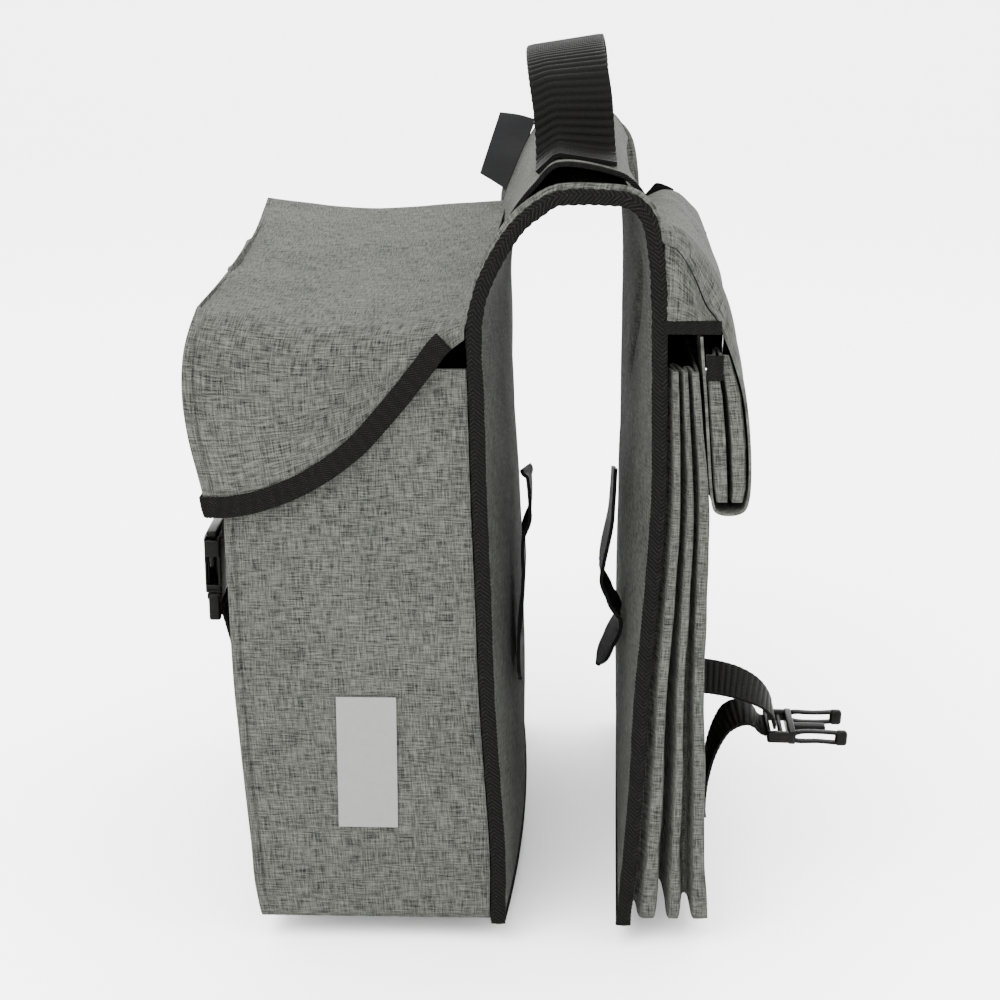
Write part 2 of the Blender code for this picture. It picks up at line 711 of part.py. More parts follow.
def full_outer_x(y, z):
    """Outer face of the full bag, before its bulge."""
    depth = FULL_DEPTH * smooth_column(FULL_DEPTHS, "share", z / MOUTH_HEIGHT)
    return outside_x(LEFT, y, z, depth)


def make_left_bag(materials, group):
    """Full bag: a tub of cloth, open above and towards the back panel."""
    end = HALF_LENGTH - CLOTH_THICKNESS - LID_CLEARANCE

    def outline(sign):
        def column(share):
            places = []
            for y, z in rounded_run(MOUTH_HEIGHT, 0.0, end, BASE_CORNER, sign):
                inner = bag_edge_x(LEFT, y, z)
                places.append(Vector((mix(inner, full_outer_x(y, z), share), y, z)))
            return places
        return column

    def panel_point(near, far, across):
        place = near.lerp(far, across)
        height = max(place.z / MOUTH_HEIGHT, 0.0)
        place.x -= FULL_BULGE * math.sin(math.pi * across) * math.sin(math.pi * min(height, 1.0))
        return place

    return wrapped_shell("left_bag", LEFT, FULL_COLUMNS, outline(-1), outline(1), panel_point,
                         CLOTH_THICKNESS, materials["melange_cloth"], group)


def lid_top(share, y):
    """Height of the full bag's lid."""
    along = min(max(y / BAG_LENGTH + 0.5, 0.0), 1.0)
    straight = mix(LID_TOP_NEAR, LID_TOP_FAR, along * along)
    return straight - LID_CORNER * smooth_column(LID_TOPS, "dip", share)


def lid_point(share, y, z):
    """Outer surface of the full bag's lid, as X at a share of the way out."""
    height = (z - LID_SKIRT) / (LID_TOP_NEAR - LID_SKIRT)
    depth = LID_DEPTH * smooth_column(LID_DEPTHS, "share", height)
    return Vector((mix(bag_edge_x(LEFT, y, z), outside_x(LEFT, y, z, depth), share), y, z))


def lid_edge(share):
    return LID_SKIRT + (LID_TOP_NEAR - LID_SKIRT) * smooth_column(LID_EDGES, "rise", share)


def make_left_lid(materials, group):
    """Hood lid: one strip over both ends and the top, and a front flap."""
    def corner_radius(share, sign):
        room = lid_top(share, sign * HALF_LENGTH) - lid_edge(share) - LID_CLEARANCE
        return min(LID_CORNER, room)

    def outline(sign):
        def column(share):
            run = rounded_run(lid_edge(share), lid_top(share, sign * HALF_LENGTH), HALF_LENGTH,
                              corner_radius(share, sign),
                              sign, 0.0, -1)
            return [lid_point(share, y, z) for y, z in run]
        return column

    def panel_point(near, far, across):
        place = near.lerp(far, across)
        height = max((place.z - LID_SKIRT) / (LID_TOP_NEAR - LID_SKIRT), 0.0)
        place.x += LID_SAG * math.sin(math.pi * across) * min(height, 1.0) ** 2
        return place

    columns = tuple(row.out for row in LID_EDGES)
    return wrapped_shell("left_lid", LEFT, columns, outline(-1), outline(1), panel_point,
                         CLOTH_THICKNESS, materials["melange_cloth"], group, LID_SAG)


def make_left_lid_tape(materials, group):
    """Black tape on the lid's lower edge, round the near end, the flap and the far end."""
    lift = FIT_GAP + LID_TAPE_THICKNESS / 2
    shares = [LID_TAPE_START] + [row.out for row in LID_EDGES[2:-1]] + [LID_TAPE_END]

    def end_stations(sign, order):
        found = []
        for share in order:
            here, ahead = lid_edge(share), lid_edge(min(share + SLOPE_STEP, 1.0))
            point = lid_point(share, sign * HALF_LENGTH, here)
            slope = (ahead - here) / (SLOPE_STEP * LID_DEPTH)
            across = Vector((slope, 0.0, 1.0)).normalized()
            centre = point + across * (LID_TAPE_WIDTH / 2) + Vector((0.0, sign * lift, 0.0))
            found.append((centre, across, Vector((0.0, sign, 0.0))))
        return found

    near = end_stations(-1, shares)
    far = end_stations(1, list(reversed(shares)))

    def flap_station(y, aside, facing):
        low, high = lid_point(1.0, y, LID_SKIRT), lid_point(1.0, y, LID_SKIRT + LID_TAPE_WIDTH)
        return (low + high) / 2 + Vector((-lift - FIT_GAP, aside, 0.0)), high - low, Vector(facing)

    reach = HALF_LENGTH - LID_TAPE_TURN
    middle = [
        flap_station(y, 0.0, (-1, 0, 0)) for y in length_stations(-reach, reach, LID_TAPE_STATIONS)
    ]
    corners = [flap_station(sign * HALF_LENGTH, sign * lift, (-1, sign, 0)) for sign in (-1, 1)]
    stations = near + [corners[0]] + middle + [corners[1]] + far
    return ribbon("left_lid_binding", stations, LID_TAPE_WIDTH, LID_TAPE_THICKNESS,
                  materials["black_tape"], group)


def flat_outer_x(y, z):
    """Outer face of the folded bag."""
    depth = FLAT_DEPTH * smooth_column(FLAT_DEPTHS, "share", z / MOUTH_HEIGHT)
    return outside_x(RIGHT, y, z, depth)


def make_right_bag(materials, group):
    """Flat bag: the gusset folds in pleats between the back panel and the outer panel."""
    end = HALF_LENGTH

    def outline(sign):
        def column(share):
            inset = GUSSET_PLEAT_DEPTH * smooth_column(FLAT_PLEATS, "inset", share)
            places = []
            for y, z in rounded_run(MOUTH_HEIGHT, 0.0, end, FLAT_CORNER, sign, inset):
                inner = bag_edge_x(RIGHT, y, z)
                places.append(Vector((mix(inner, flat_outer_x(y, z), share), y, z)))
            return places
        return column

    def panel_point(near, far, across):
        place = near.lerp(far, across)
        place.x = flat_outer_x(place.y, place.z)
        return place

    columns = tuple(row.out for row in FLAT_PLEATS)
    return wrapped_shell("right_bag", RIGHT, columns, outline(-1), outline(1), panel_point,
                         FOLDED_CLOTH_THICKNESS, materials["melange_cloth"], group)


def flap_place(x_share, z_share, y):
    on_panel = panel_x(RIGHT, y, SHOULDER_HEIGHT) + PANEL_THICKNESS
    near_top = min(max((z_share - FLAP_FREE) / (1.0 - FLAP_FREE), 0.0), 1.0)
    base = mix(outside_x(RIGHT, y, SHOULDER_HEIGHT, 0.0), on_panel, near_top) + FIT_GAP
    return Vector((base + x_share * FLAP_REACH, y, FLAP_BOTTOM + z_share * FLAP_DROP))


def flap_row(y, share, part):
    """Outside of the flat bag's lid in section, from its root round to its turned-up edge."""
    crest, far_bend = -HALF_LENGTH + FLAP_CREST, HALF_LENGTH - FLAP_CREST
    row = []
    for flap in FLAP_SECTION:
        if part == "near":
            x, z = mix(flap.near_x, flap.crest_x, share), mix(flap.near_z, flap.crest_z, share)
        elif part == "body":
            along = (y - crest) / (far_bend - crest)
            x, z = mix(flap.crest_x, flap.far_x, along), mix(flap.crest_z, flap.far_z, along)
        else:
            x, z = flap.far_x, flap.far_z - FLAP_DROOP * max(flap.far_z - FLAP_MIDDLE, 0.0)
        row.append(flap_place(x, z, y))
    return row


def make_right_lid(materials, group):
    """Lid of the flat bag: down over the outside and folded up under itself."""
    end = HALF_LENGTH
    crest = -end + FLAP_CREST
    sections = []
    places = [(mix(-end, crest, row.way), row.share, "near") for row in FLAP_RISES]
    places += [(y, 0.0, "body") for y in length_stations(crest, end - FLAP_CREST, MIDDLE_RUN - 1)[1:]]
    places += [(end, 0.0, "far")]
    for y, share, part in places:
        row = flap_row(y, share, part)
        sections.append((offset_row(row, -FOLDED_CLOTH_THICKNESS), row))
    return band_loft("right_lid", sections, materials["melange_cloth"], group)


def under_lid(part, x):
    """Height just below the lid's sheet at one of its ends."""
    y = -HALF_LENGTH if part == "near" else HALF_LENGTH
    row = offset_row(flap_row(y, 0.0, part)[FLAP_TOP], -FOLDED_CLOTH_THICKNESS - END_GAP)
    for before, after in zip(row, row[1:]):
        if before.x <= x <= after.x:
            return mix(before.z, after.z, (x - before.x) / (after.x - before.x))
    return row[0].z if x < row[0].x else row[-1].z


def flap_branch(branch, part, height):
    """X share of one branch of the flap's section at a height share."""
    rows = [(getattr(row, part + "_z"), getattr(row, part + "_x")) for row in FLAP_SECTION[branch]]
    rows.sort()
    for (low, start), (high, end) in zip(rows, rows[1:]):
        if low <= height <= high:
            return mix(start, end, (height - low) / (high - low))
    return rows[0][1] if height < rows[0][0] else rows[-1][1]


def make_flap_gusset(name, sign, materials, group):
    """Pleated end of the turned-up flap, between its outer and its inner layer."""
    part = "near" if sign < 0 else "far"
    y = sign * (HALF_LENGTH - GUSSET_SETBACK)
    rest = (FOLDED_CLOTH_THICKNESS + GUSSET_REST) / FLAP_REACH
    sections = []
    for height in GUSSET_HEIGHTS:
        outer = flap_branch(FLAP_OUTER, part, height) - rest
        inner = flap_branch(FLAP_INNER, part, height) + rest
        line = []
        for pleat in GUSSET_PLEATS:
            place = flap_place(mix(inner, outer, pleat.out), height, y)
            place.y -= sign * pleat.inset * GUSSET_PLEAT_DEPTH
            line.append(place)
        sections.append((line, offset_row(line, sign * FOLDED_CLOTH_THICKNESS, (0, 0, -1))))
    return band_loft(name, sections, materials["melange_cloth"], group)


def make_flap_end(name, sign, materials, group):
    """Closed end of the flat bag's lid under its top."""
    part = "near" if sign < 0 else "far"
    y = sign * (HALF_LENGTH - GUSSET_SETBACK)
    sections = []
    for share in END_SHARES:
        low = flap_place(share, END_BORDER, y)
        high = Vector((low.x, y, max(under_lid(part, low.x), low.z + GUSSET_REST)))
        inward = Vector((0.0, -sign * FOLDED_CLOTH_THICKNESS, 0.0))
        sections.append(([low, high], [low + inward, high + inward]))
    return band_loft(name, sections, materials["melange_cloth"], group)


def make_flap_tapes(name, sign, materials, group):
    """Black bound border of the closed end, and of the pleat below it."""
    part = "near" if sign < 0 else "far"
    y = sign * (HALF_LENGTH + LID_TAPE_THICKNESS / 2 + FIT_GAP - GUSSET_SETBACK)
    up = Vector((0, 0, 1))
    facing = Vector((0, sign, 0))
    border = []
    for share in END_SHARES:
        border.append((flap_place(share, END_BORDER, y), up, facing))
    ribbon(name + "_border", border, FLAP_TAPE_WIDTH, LID_TAPE_THICKNESS, materials["black_tape"], group)
    rest = (FOLDED_CLOTH_THICKNESS + GUSSET_REST) / FLAP_REACH
    height = GUSSET_HEIGHTS[-1] - GUSSET_TAPE / 2 / FLAP_DROP
    outer = flap_branch(FLAP_OUTER, part, height) - rest
    inner = flap_branch(FLAP_INNER, part, height) + rest
    pleat = [(flap_place(mix(inner, outer, share), height, y), up, facing) for share in TAPE_SHARES]
    ribbon(name + "_pleat", pleat, GUSSET_TAPE, LID_TAPE_THICKNESS, materials["black_tape"], group)


def strap_stations(rows, y):
    """Stations of a strap that stands out of the flat bag's outer face, turned about its length."""
    root = flat_outer_x(y, STRAP_ROOT)
    reach = LOOSE_STRAP_LENGTH
    centres = [Vector((root + row.out * reach, y, row.height * reach)) for row in rows]
    stations = []
    for k, (row, centre) in enumerate(zip(rows, centres)):
        along = (centres[min(k + 1, len(rows) - 1)] - centres[max(k - 1, 0)]).normalized()
        tilt = math.radians(row.tilt)
        across = Vector((0.0, math.cos(tilt), math.sin(tilt)))
        across -= along * across.dot(along)
        stations.append((centre, across, across.cross(along)))
    return stations


def make_loose_strap(name, y, rows, materials, group):
    return ribbon(name, strap_stations(rows, y), WEBBING_WIDTH, WEBBING_THICKNESS,
                  materials["black_webbing"], group)


def cube(size, centre):
    shape = bmesh.new()
    bmesh.ops.create_cube(shape, size=1.0)
    bmesh.ops.scale(shape, vec=size, verts=shape.verts)
    bmesh.ops.translate(shape, vec=centre, verts=shape.verts)
    mesh = bpy.data.meshes.new("block")
    shape.to_mesh(mesh)
    shape.free()
    return mesh


def combine(name, base, joins, cuts, material, bevel):
    """Mesh of one block with blocks joined to it and cut from it."""
    workshop = bpy.data.collections["cutters"]
    thing = bpy.data.objects.new(name, base)
    workshop.objects.link(thing)
    rounding = thing.modifiers.new("rounding", "BEVEL")
    rounding.width = bevel
    rounding.segments = 1
    rounding.limit_method = "ANGLE"
    helpers = []
    for operation, meshes in (("UNION", joins), ("DIFFERENCE", cuts)):
        for k, mesh in enumerate(meshes):
            helper = bpy.data.objects.new(name + "_" + operation.lower() + str(k), mesh)
            workshop.objects.link(helper)
            helpers.append(helper)
            step = thing.modifiers.new(operation.lower() + str(k), "BOOLEAN")
            step.operation = operation
            step.object = helper
            step.solver = "EXACT"
    bpy.context.view_layer.update()
    shaped = thing.evaluated_get(bpy.context.evaluated_depsgraph_get())
    mesh = bpy.data.meshes.new_from_object(shaped)
    for helper in helpers + [thing]:
        bpy.data.objects.remove(helper, do_unlink=True)
    shape = bmesh.new()
    shape.from_mesh(mesh)
    bmesh.ops.remove_doubles(shape, verts=shape.verts, dist=MERGE_DISTANCE)
    bmesh.ops.triangulate(shape, faces=shape.faces)
    shape.to_mesh(mesh)
    shape.free()
    mesh.materials.clear()
    mesh.materials.append(material)
    return mesh


def place_copy(name, mesh, matrix, group):
    thing = bpy.data.objects.new(name, mesh)
    group.objects.link(thing)
    thing.matrix_world = matrix
    return thing


def socket_mesh(materials):
    """Socket half of a side-release buckle. Y is across, +Z towards its webbing, X is thickness."""
    length, width, thick = SOCKET_LENGTH, BUCKLE_WIDTH, BUCKLE_THICKNESS
    cavity_width = width - 2 * SOCKET_WALL
    cavity_thick = PLUG_THICKNESS + 4 * FIT_GAP
    depth = PRONG_LENGTH * SOCKET_COVER
    base = cube((thick, width, length), (0, 0, length / 2))
    cavity = cube((cavity_thick, cavity_width, 2 * depth), (0, 0, 0))
    windows = cube((cavity_thick, 2 * width, depth * SOCKET_WINDOW), (0, 0, depth * 0.5))
    slot_z = length - SOCKET_BAR - LADDER_BAR / 2
    slot = cube((2 * thick, WEBBING_WIDTH + 4 * FIT_GAP, LADDER_BAR), (0, 0, slot_z))
    return combine("socket", base, [], [cavity, windows, slot], materials["black_plastic"], BUCKLE_ROUNDING)


def plug_mesh(materials):
    """Plug half: a ladder for the webbing, two sprung prongs and a guide, along +Z."""
    thick, width = PLUG_THICKNESS, BUCKLE_WIDTH
    prong_y = (width - 2 * SOCKET_WALL - 4 * FIT_GAP - PRONG_WIDTH) / 2
    reach = PRONG_LENGTH - SOCKET_REST
    base = cube((thick, width, PLUG_BASE), (0, 0, -PLUG_BASE / 2))
    joins = []
    for sign in (-1, 1):
        stem = (thick * 0.8, PRONG_WIDTH * 0.7, reach)
        head = (thick * 0.9, PRONG_WIDTH, reach * PRONG_HEAD)
        joins.append(cube(stem, (0, sign * (prong_y - PRONG_WIDTH * 0.14), reach / 2 - BUCKLE_ROUNDING * 2)))
        joins.append(cube(head, (0, sign * prong_y, reach * 0.80)))
    guide = (thick * 0.7, GUIDE_WIDTH, GUIDE_LENGTH)
    joins.append(cube(guide, (0, 0, GUIDE_LENGTH / 2 - BUCKLE_ROUNDING * 2)))
    opening = (2 * thick, WEBBING_WIDTH + 4 * FIT_GAP, LADDER_BAR)
    slots = [cube(opening, (0, 0, -PLUG_BASE * place)) for place in LADDER_SLOTS]
    return combine("plug", base, joins, slots, materials["black_plastic"], BUCKLE_ROUNDING)


def make_closed_buckle(name, y, socket, plug, materials, group):
    """Closed buckle on the full bag, standing off its outer face, with its two webbing ends."""
    x = full_outer_x(y, BUCKLE_TOP) - BUCKLE_STANDOFF
    socket_foot = BUCKLE_TOP - SOCKET_LENGTH
    place_copy(name + "_socket", socket, Matrix.Translation((x, y, socket_foot)), group)
    place_copy(name + "_plug", plug, Matrix.Translation((x, y, socket_foot - SOCKET_REST)), group)
    across = Vector((0, 1, 0))
    slot_z = BUCKLE_TOP - SOCKET_BAR - LADDER_BAR / 2
    behind = x + BUCKLE_THICKNESS / 2 + WEBBING_THICKNESS
    flap_x = lid_point(1.0, y, LID_SKIRT).x + CLOTH_THICKNESS + CURVE_SLACK + WEBBING_THICKNESS / 2
    upper = [
        (Vector((x - BUCKLE_THICKNESS / 2 - FIT_GAP, y, slot_z)), across, Vector((0, 0, 1))),
        (Vector((behind - WEBBING_THICKNESS, y, slot_z)), across, Vector((0, 0, 1))),
        (Vector((behind, y, slot_z + WEBBING_THICKNESS)), across, Vector((-1, 0, 1))),
        (Vector((behind, y, BUCKLE_TOP + WEBBING_THICKNESS * 2)), across, Vector((-1, 0, 0))),
        (Vector((flap_x, y, LID_SKIRT - WEBBING_THICKNESS)), across, Vector((-1, 0, 0))),
        (Vector((flap_x, y, LID_SKIRT + WEBBING_SEWN)), across, Vector((-1, 0, 0))),
    ]
    ribbon(name + "_lid_webbing", upper, WEBBING_WIDTH, WEBBING_THICKNESS, materials["black_webbing"], group)
    ladder_z = socket_foot - SOCKET_REST - PLUG_BASE * LADDER_SLOTS[1]
    body_x = full_outer_x(y, WEBBING_FOOT) - FULL_BULGE - CURVE_SLACK - WEBBING_THICKNESS / 2
    inside = x + PLUG_THICKNESS / 2 + WEBBING_THICKNESS
    bend_x = mix(inside, body_x, WEBBING_BEND.out)
    bend_z = mix(ladder_z, WEBBING_FOOT, WEBBING_BEND.height)
    lower = [
        (Vector((x - PLUG_THICKNESS / 2 - FIT_GAP, y, ladder_z)), across, Vector((0, 0, 1))),
        (Vector((inside - WEBBING_THICKNESS, y, ladder_z)), across, Vector((0, 0, 1))),
        (Vector((inside, y, ladder_z - WEBBING_THICKNESS)), across, Vector((1, 0, 1))),
        (Vector((bend_x, y, bend_z)), across, Vector((1, 0, 0))),
        (Vector((body_x, y, WEBBING_FOOT + WEBBING_SEWN)), across, Vector((1, 0, 0))),
        (Vector((body_x, y, WEBBING_FOOT)), across, Vector((1, 0, 0))),
    ]
    ribbon(name + "_body_webbing", lower, WEBBING_WIDTH, WEBBING_THICKNESS, materials["black_webbing"], group)


def place_loose_plug(name, y, plug, group):
    """Plug at the end of the flat bag's loose strap, nearly level."""
    x = flat_outer_x(y, STRAP_ROOT) + PLUG_OUT * LOOSE_STRAP_LENGTH
    place = Matrix.Translation((x + PLUG_BASE, y, PLUG_HEIGHT * LOOSE_STRAP_LENGTH))
    lean = Matrix.Rotation(math.radians(PLUG_TILT), 4, "X") @ Matrix.Rotation(math.radians(PLUG_DIP), 4, "Y")
    return place_copy(name, plug, place @ lean, group)


def make_hanging_strap(name, y, plug, materials, group):
    """The other strap of the flat bag, hanging straight down with its plug."""
    x = flat_outer_x(y, HANGING_FOOT - PRONG_LENGTH) + HANGING_STANDOFF
    place = Matrix.Translation((x, y, HANGING_FOOT)) @ Matrix.Rotation(math.pi, 4, "X")
    place_copy(name + "_plug", plug, place, group)
    across = Vector((0, 1, 0))
    strap_x = x + PLUG_THICKNESS / 2 + WEBBING_THICKNESS
    outermost = max(flat_outer_x(y, z) for z in (STRAP_ROOT, STRAP_ROOT + WEBBING_SEWN))
    root_x = outermost + CURVE_SLACK + WEBBING_THICKNESS / 2
    slot_z = HANGING_FOOT + PLUG_BASE * LADDER_SLOTS[1]
    stations = [
        (Vector((root_x, y, STRAP_ROOT + WEBBING_SEWN)), across, Vector((1, 0, 0))),
        (Vector((root_x, y, STRAP_ROOT)), across, Vector((1, 0, 0))),
        (Vector((strap_x, y, HANGING_FOOT + PLUG_BASE + WEBBING_SEWN)), across, Vector((1, 0, 0))),
        (Vector((strap_x, y, slot_z + WEBBING_THICKNESS)), across, Vector((1, 0, -1))),
        (Vector((strap_x - WEBBING_THICKNESS, y, slot_z)), across, Vector((0, 0, -1))),
        (Vector((x - PLUG_THICKNESS / 2 + FIT_GAP, y, slot_z)), across, Vector((0, 0, -1))),
    ]
    ribbon(name + "_strap", stations, WEBBING_WIDTH, WEBBING_THICKNESS, materials["black_webbing"], group)


def make_carrier_strap(name, side, rows, materials, group):
    """Black strap on the inner face of a back panel, sewn at its top and curling at its end."""
    y = CARRIER_STRAP_CENTRE
    centres = []
    stations = []
    for row in rows:
        z = CARRIER_STRAP_FOOT + row.height * CARRIER_STRAP_LENGTH
        lean = CARRIER_LEAN * (1.0 - row.height)
        nearest = min(side * panel_x(side, y + lean + e * CARRIER_STRAP_WIDTH / 2, z) for e in (-1, 0, 1))
        clear = CURVE_SLACK + CARRIER_STRAP_THICKNESS / 2
        x = side * (nearest - clear - row.off * CARRIER_STRAP_LENGTH)
        centres.append(Vector((x, y + lean, z)))
    for k, centre in enumerate(centres):
        along = (centres[min(k + 1, len(centres) - 1)] - centres[max(k - 1, 0)]).normalized()
        across = Vector((0, 1, 0))
        across -= along * across.dot(along)
        stations.append((centre, across, across.cross(along)))
    return ribbon(name, stations, CARRIER_STRAP_WIDTH, CARRIER_STRAP_THICKNESS,
                  materials["black_webbing"], group)


def make_patch(materials, group):
    """Plain reflective bar on the near end of the full bag."""
    y = -HALF_LENGTH + CLOTH_THICKNESS + LID_CLEARANCE - FIT_GAP - PATCH_THICKNESS / 2
    middle = bag_edge_x(LEFT, y, PATCH_MIDDLE) - FULL_DEPTH * PATCH_OUT
    half = Vector((0, 0, PATCH_HEIGHT / 2))
    centre = Vector((middle, y, PATCH_MIDDLE))
    across = Vector((1, 0, 0))
    stations = [(centre - half, across, Vector((0, -1, 0))), (centre + half, across, Vector((0, -1, 0)))]
    return ribbon("reflective_patch", stations, PATCH_WIDTH, PATCH_THICKNESS, materials["reflective"], group)


def centre_over_floor(group):
    """Move every piece so that the origin is under the middle of the whole, on the floor."""
    bpy.context.view_layer.update()
    depsgraph = bpy.context.evaluated_depsgraph_get()
    low = Vector((math.inf,) * 3)
    high = Vector((-math.inf,) * 3)
    for thing in group.objects:
        shape = thing.evaluated_get(depsgraph)
        for vertex in shape.data.vertices:
            place = shape.matrix_world @ vertex.co
            low = Vector(map(min, low, place))
            high = Vector(map(max, high, place))
    shift = Vector((-(low.x + high.x) / 2, -(low.y + high.y) / 2, -low.z))
    anchor = bpy.data.objects.new("floor_origin", None)
    group.objects.link(anchor)
    for thing in group.objects:
        if thing != anchor:
            thing.parent = anchor
    anchor.location = shift


def main():
    clear_scene()
    group = make_collection("double_bicycle_pannier")
    make_collection("cutters", hidden=True)
    materials = {name: make_material(name) for name in FINISHES}
    socket, plug = socket_mesh(materials), plug_mesh(materials)
    make_saddle_panel(materials, group)
    make_end_binding("near_binding", -1, materials, group)
    make_end_binding("far_binding", 1, materials, group)
    make_hem("left_hem", LEFT, materials, group)
    make_hem("right_hem", RIGHT, materials, group)
    make_handle_panel(materials, group)
    make_upper_edge("handle_panel_near_edge", -1, materials, group)
    make_upper_edge("handle_panel_far_edge", 1, materials, group)
    make_handle(materials, group)
    make_left_bag(materials, group)
    make_left_lid(materials, group)
    make_left_lid_tape(materials, group)
    make_right_bag(materials, group)
    make_right_lid(materials, group)
    for word, sign in (("near", -1), ("far", 1)):
        make_flap_gusset("right_lid_" + word + "_gusset", sign, materials, group)
        make_flap_end("right_lid_" + word + "_end", sign, materials, group)
        make_flap_tapes("right_lid_" + word, sign, materials, group)
        make_closed_buckle("left_" + word, sign * STRAP_SPACING / 2, socket, plug, materials, group)
    near = -STRAP_SPACING / 2
    make_loose_strap("right_near_strap", near, LOOSE_STRAP, materials, group)
    make_loose_strap("right_near_strap_tail", near, LOOSE_TAIL, materials, group)
    place_loose_plug("right_near_plug", near, plug, group)
    make_hanging_strap("right_far", STRAP_SPACING / 2, plug, materials, group)
    make_carrier_strap("left_carrier_strap", LEFT, LEFT_CURL, materials, group)
    make_carrier_strap("right_carrier_strap", RIGHT, RIGHT_CURL, materials, group)
    make_band_end(materials, group)
    make_bound_corner(materials, group)
    make_patch(materials, group)
    centre_over_floor(group)


main()
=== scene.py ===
"""Looks of the double bicycle pannier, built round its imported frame.

Metres, in the frame's own axes: X across the bicycle, with the full bag at -X, Y along it, Z up.
Each piece follows the curves of the frame's solid that it replaces, but for small differences that
the photo shows, such as the pleats' depth and the swell of cloth behind the arch's bindings.
"""

import math
from collections import namedtuple

import bmesh
import bpy
from mathutils import Matrix, Vector, noise


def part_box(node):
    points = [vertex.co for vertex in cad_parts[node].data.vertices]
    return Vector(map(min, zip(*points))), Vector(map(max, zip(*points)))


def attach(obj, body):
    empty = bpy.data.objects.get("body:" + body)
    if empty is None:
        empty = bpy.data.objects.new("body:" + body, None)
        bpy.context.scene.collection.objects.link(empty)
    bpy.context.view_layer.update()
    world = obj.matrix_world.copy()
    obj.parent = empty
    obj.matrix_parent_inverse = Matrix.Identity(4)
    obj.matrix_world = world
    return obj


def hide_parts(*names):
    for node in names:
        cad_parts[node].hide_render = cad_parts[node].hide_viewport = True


bl_info = {
    "name": "Double bicycle pannier",
    "version": (1, 0, 0),
    "blender": (4, 5, 0),
    "location": "View3D > Sidebar > Pannier",
    "description": "Cloth, tape, webbing and buckles of a double bicycle pannier",
    "category": "Object",
}

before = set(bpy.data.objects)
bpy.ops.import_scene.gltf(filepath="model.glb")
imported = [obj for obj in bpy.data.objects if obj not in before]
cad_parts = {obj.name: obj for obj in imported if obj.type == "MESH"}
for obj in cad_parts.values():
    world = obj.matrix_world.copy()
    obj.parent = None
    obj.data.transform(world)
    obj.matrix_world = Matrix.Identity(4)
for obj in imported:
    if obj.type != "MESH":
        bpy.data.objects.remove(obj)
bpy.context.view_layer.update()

# Main sizes, most of them as in the part's source
BAG_LENGTH = 0.340
HALF_LENGTH = BAG_LENGTH / 2
SHOULDER_HEIGHT = 0.352
BRIDGE_HEIGHT = 0.4195
HALF_GAP = 0.048
FIT_GAP = 0.0003
PANEL_THICKNESS = 0.004
CLOTH_THICKNESS = 0.0022
FOLDED_CLOTH_THICKNESS = 0.0015
HEM_THICKNESS = 0.0012
HEM_WIDTH = 0.0065
BINDING_WIDTH = 0.0085
BINDING_THICKNESS = 0.0028
BINDING_INNER = 0.0012
LID_TAPE_WIDTH = 0.012
LID_TAPE_THICKNESS = 0.0013
LID_TAPE_START = 0.045
LID_TAPE_END = 0.975
BRIDGE_HOLLOW = 0.0135
UPPER_LAYER_INSET = 0.017
UPPER_EDGE_WIDTH = 0.0032
HANDLE_WIDTH = 0.044
HANDLE_WEBBING = 0.0024
HANDLE_RISE = 0.0490
HANDLE_LENGTH = 0.226
HANDLE_OFFSET = 0.003
HANDLE_INSET = 0.025
HANDLE_SEAT = 0.0012
HANDLE_FREE_RISE = 0.5
MOUTH_HEIGHT = 0.330
FULL_DEPTH = 0.1405
FAR_SPREAD = 0.008
FULL_BULGE = 0.004
BASE_CORNER = 0.005
LID_DEPTH = 0.1565
LID_SKIRT = 0.2465
LID_TOP_NEAR = SHOULDER_HEIGHT + 0.006
LID_TOP_FAR = SHOULDER_HEIGHT + 0.021
LID_CORNER = 0.024
LID_SAG = 0.006
LID_CLEARANCE = 0.0010
FLAT_DEPTH = 0.0275
FLAT_CORNER = 0.012
FOLD_RADIUS = 0.001
FLAP_REACH = 0.053
FLAP_BOTTOM = 0.250
FLAP_DROP = 0.155
FLAP_CREST = 0.017
FLAP_FREE = 0.60
FLAP_DROOP = 0.05
FLAP_MIDDLE = 0.5
GUSSET_PLEAT_DEPTH = 0.020
GUSSET_TAPE = 0.0140
GUSSET_SETBACK = 0.0012
GUSSET_REST = 0.0009
END_BORDER = 0.672
FAR_BORDER = 0.612
FAR_WIDEST = 0.960
END_GAP = 0.0005
FLAP_TAPE_WIDTH = 0.0075
STRAP_SPACING = 0.200
WEBBING_WIDTH = 0.025
WEBBING_THICKNESS = 0.0016
BUCKLE_WIDTH = 0.034
BUCKLE_THICKNESS = 0.0095
SOCKET_LENGTH = 0.0375
PLUG_THICKNESS = 0.0055
PLUG_BASE = 0.016
PRONG_LENGTH = 0.0325
LADDER_BAR = 0.0040
LADDER_SLOT = 0.72
SOCKET_REST = 0.0012
SOCKET_BAR = 0.0030
BUCKLE_STANDOFF = 0.0160
BUCKLE_TOP = 0.2210
WEBBING_SEWN = 0.018
WEBBING_FOOT = 0.118
STRAP_ROOT = 0.127
LOOSE_STRAP_LENGTH = 0.085
HANGING_FOOT = 0.066
HANGING_STANDOFF = 0.005
PLUG_OUT = 0.485
PLUG_HEIGHT = 1.135
PLUG_TILT = 4.0
PLUG_DIP = 91.0
CARRIER_STRAP_LENGTH = 0.126
CARRIER_STRAP_FOOT = 0.115
CARRIER_STRAP_WIDTH = 0.045
CARRIER_STRAP_THICKNESS = 0.0022
CARRIER_STRAP_CENTRE = -0.045
CARRIER_LEAN = -0.030
BAND_THICKNESS = 0.0020
BAND_PLACE = 0.1569
CORNER_PLACE = 0.160
PATCH_THICKNESS = 0.0006
PATCH_WIDTH = 0.034
PATCH_HEIGHT = 0.080
PATCH_MIDDLE = 0.100
PATCH_OUT = 0.47
TAPE_APPROACH = 0.020
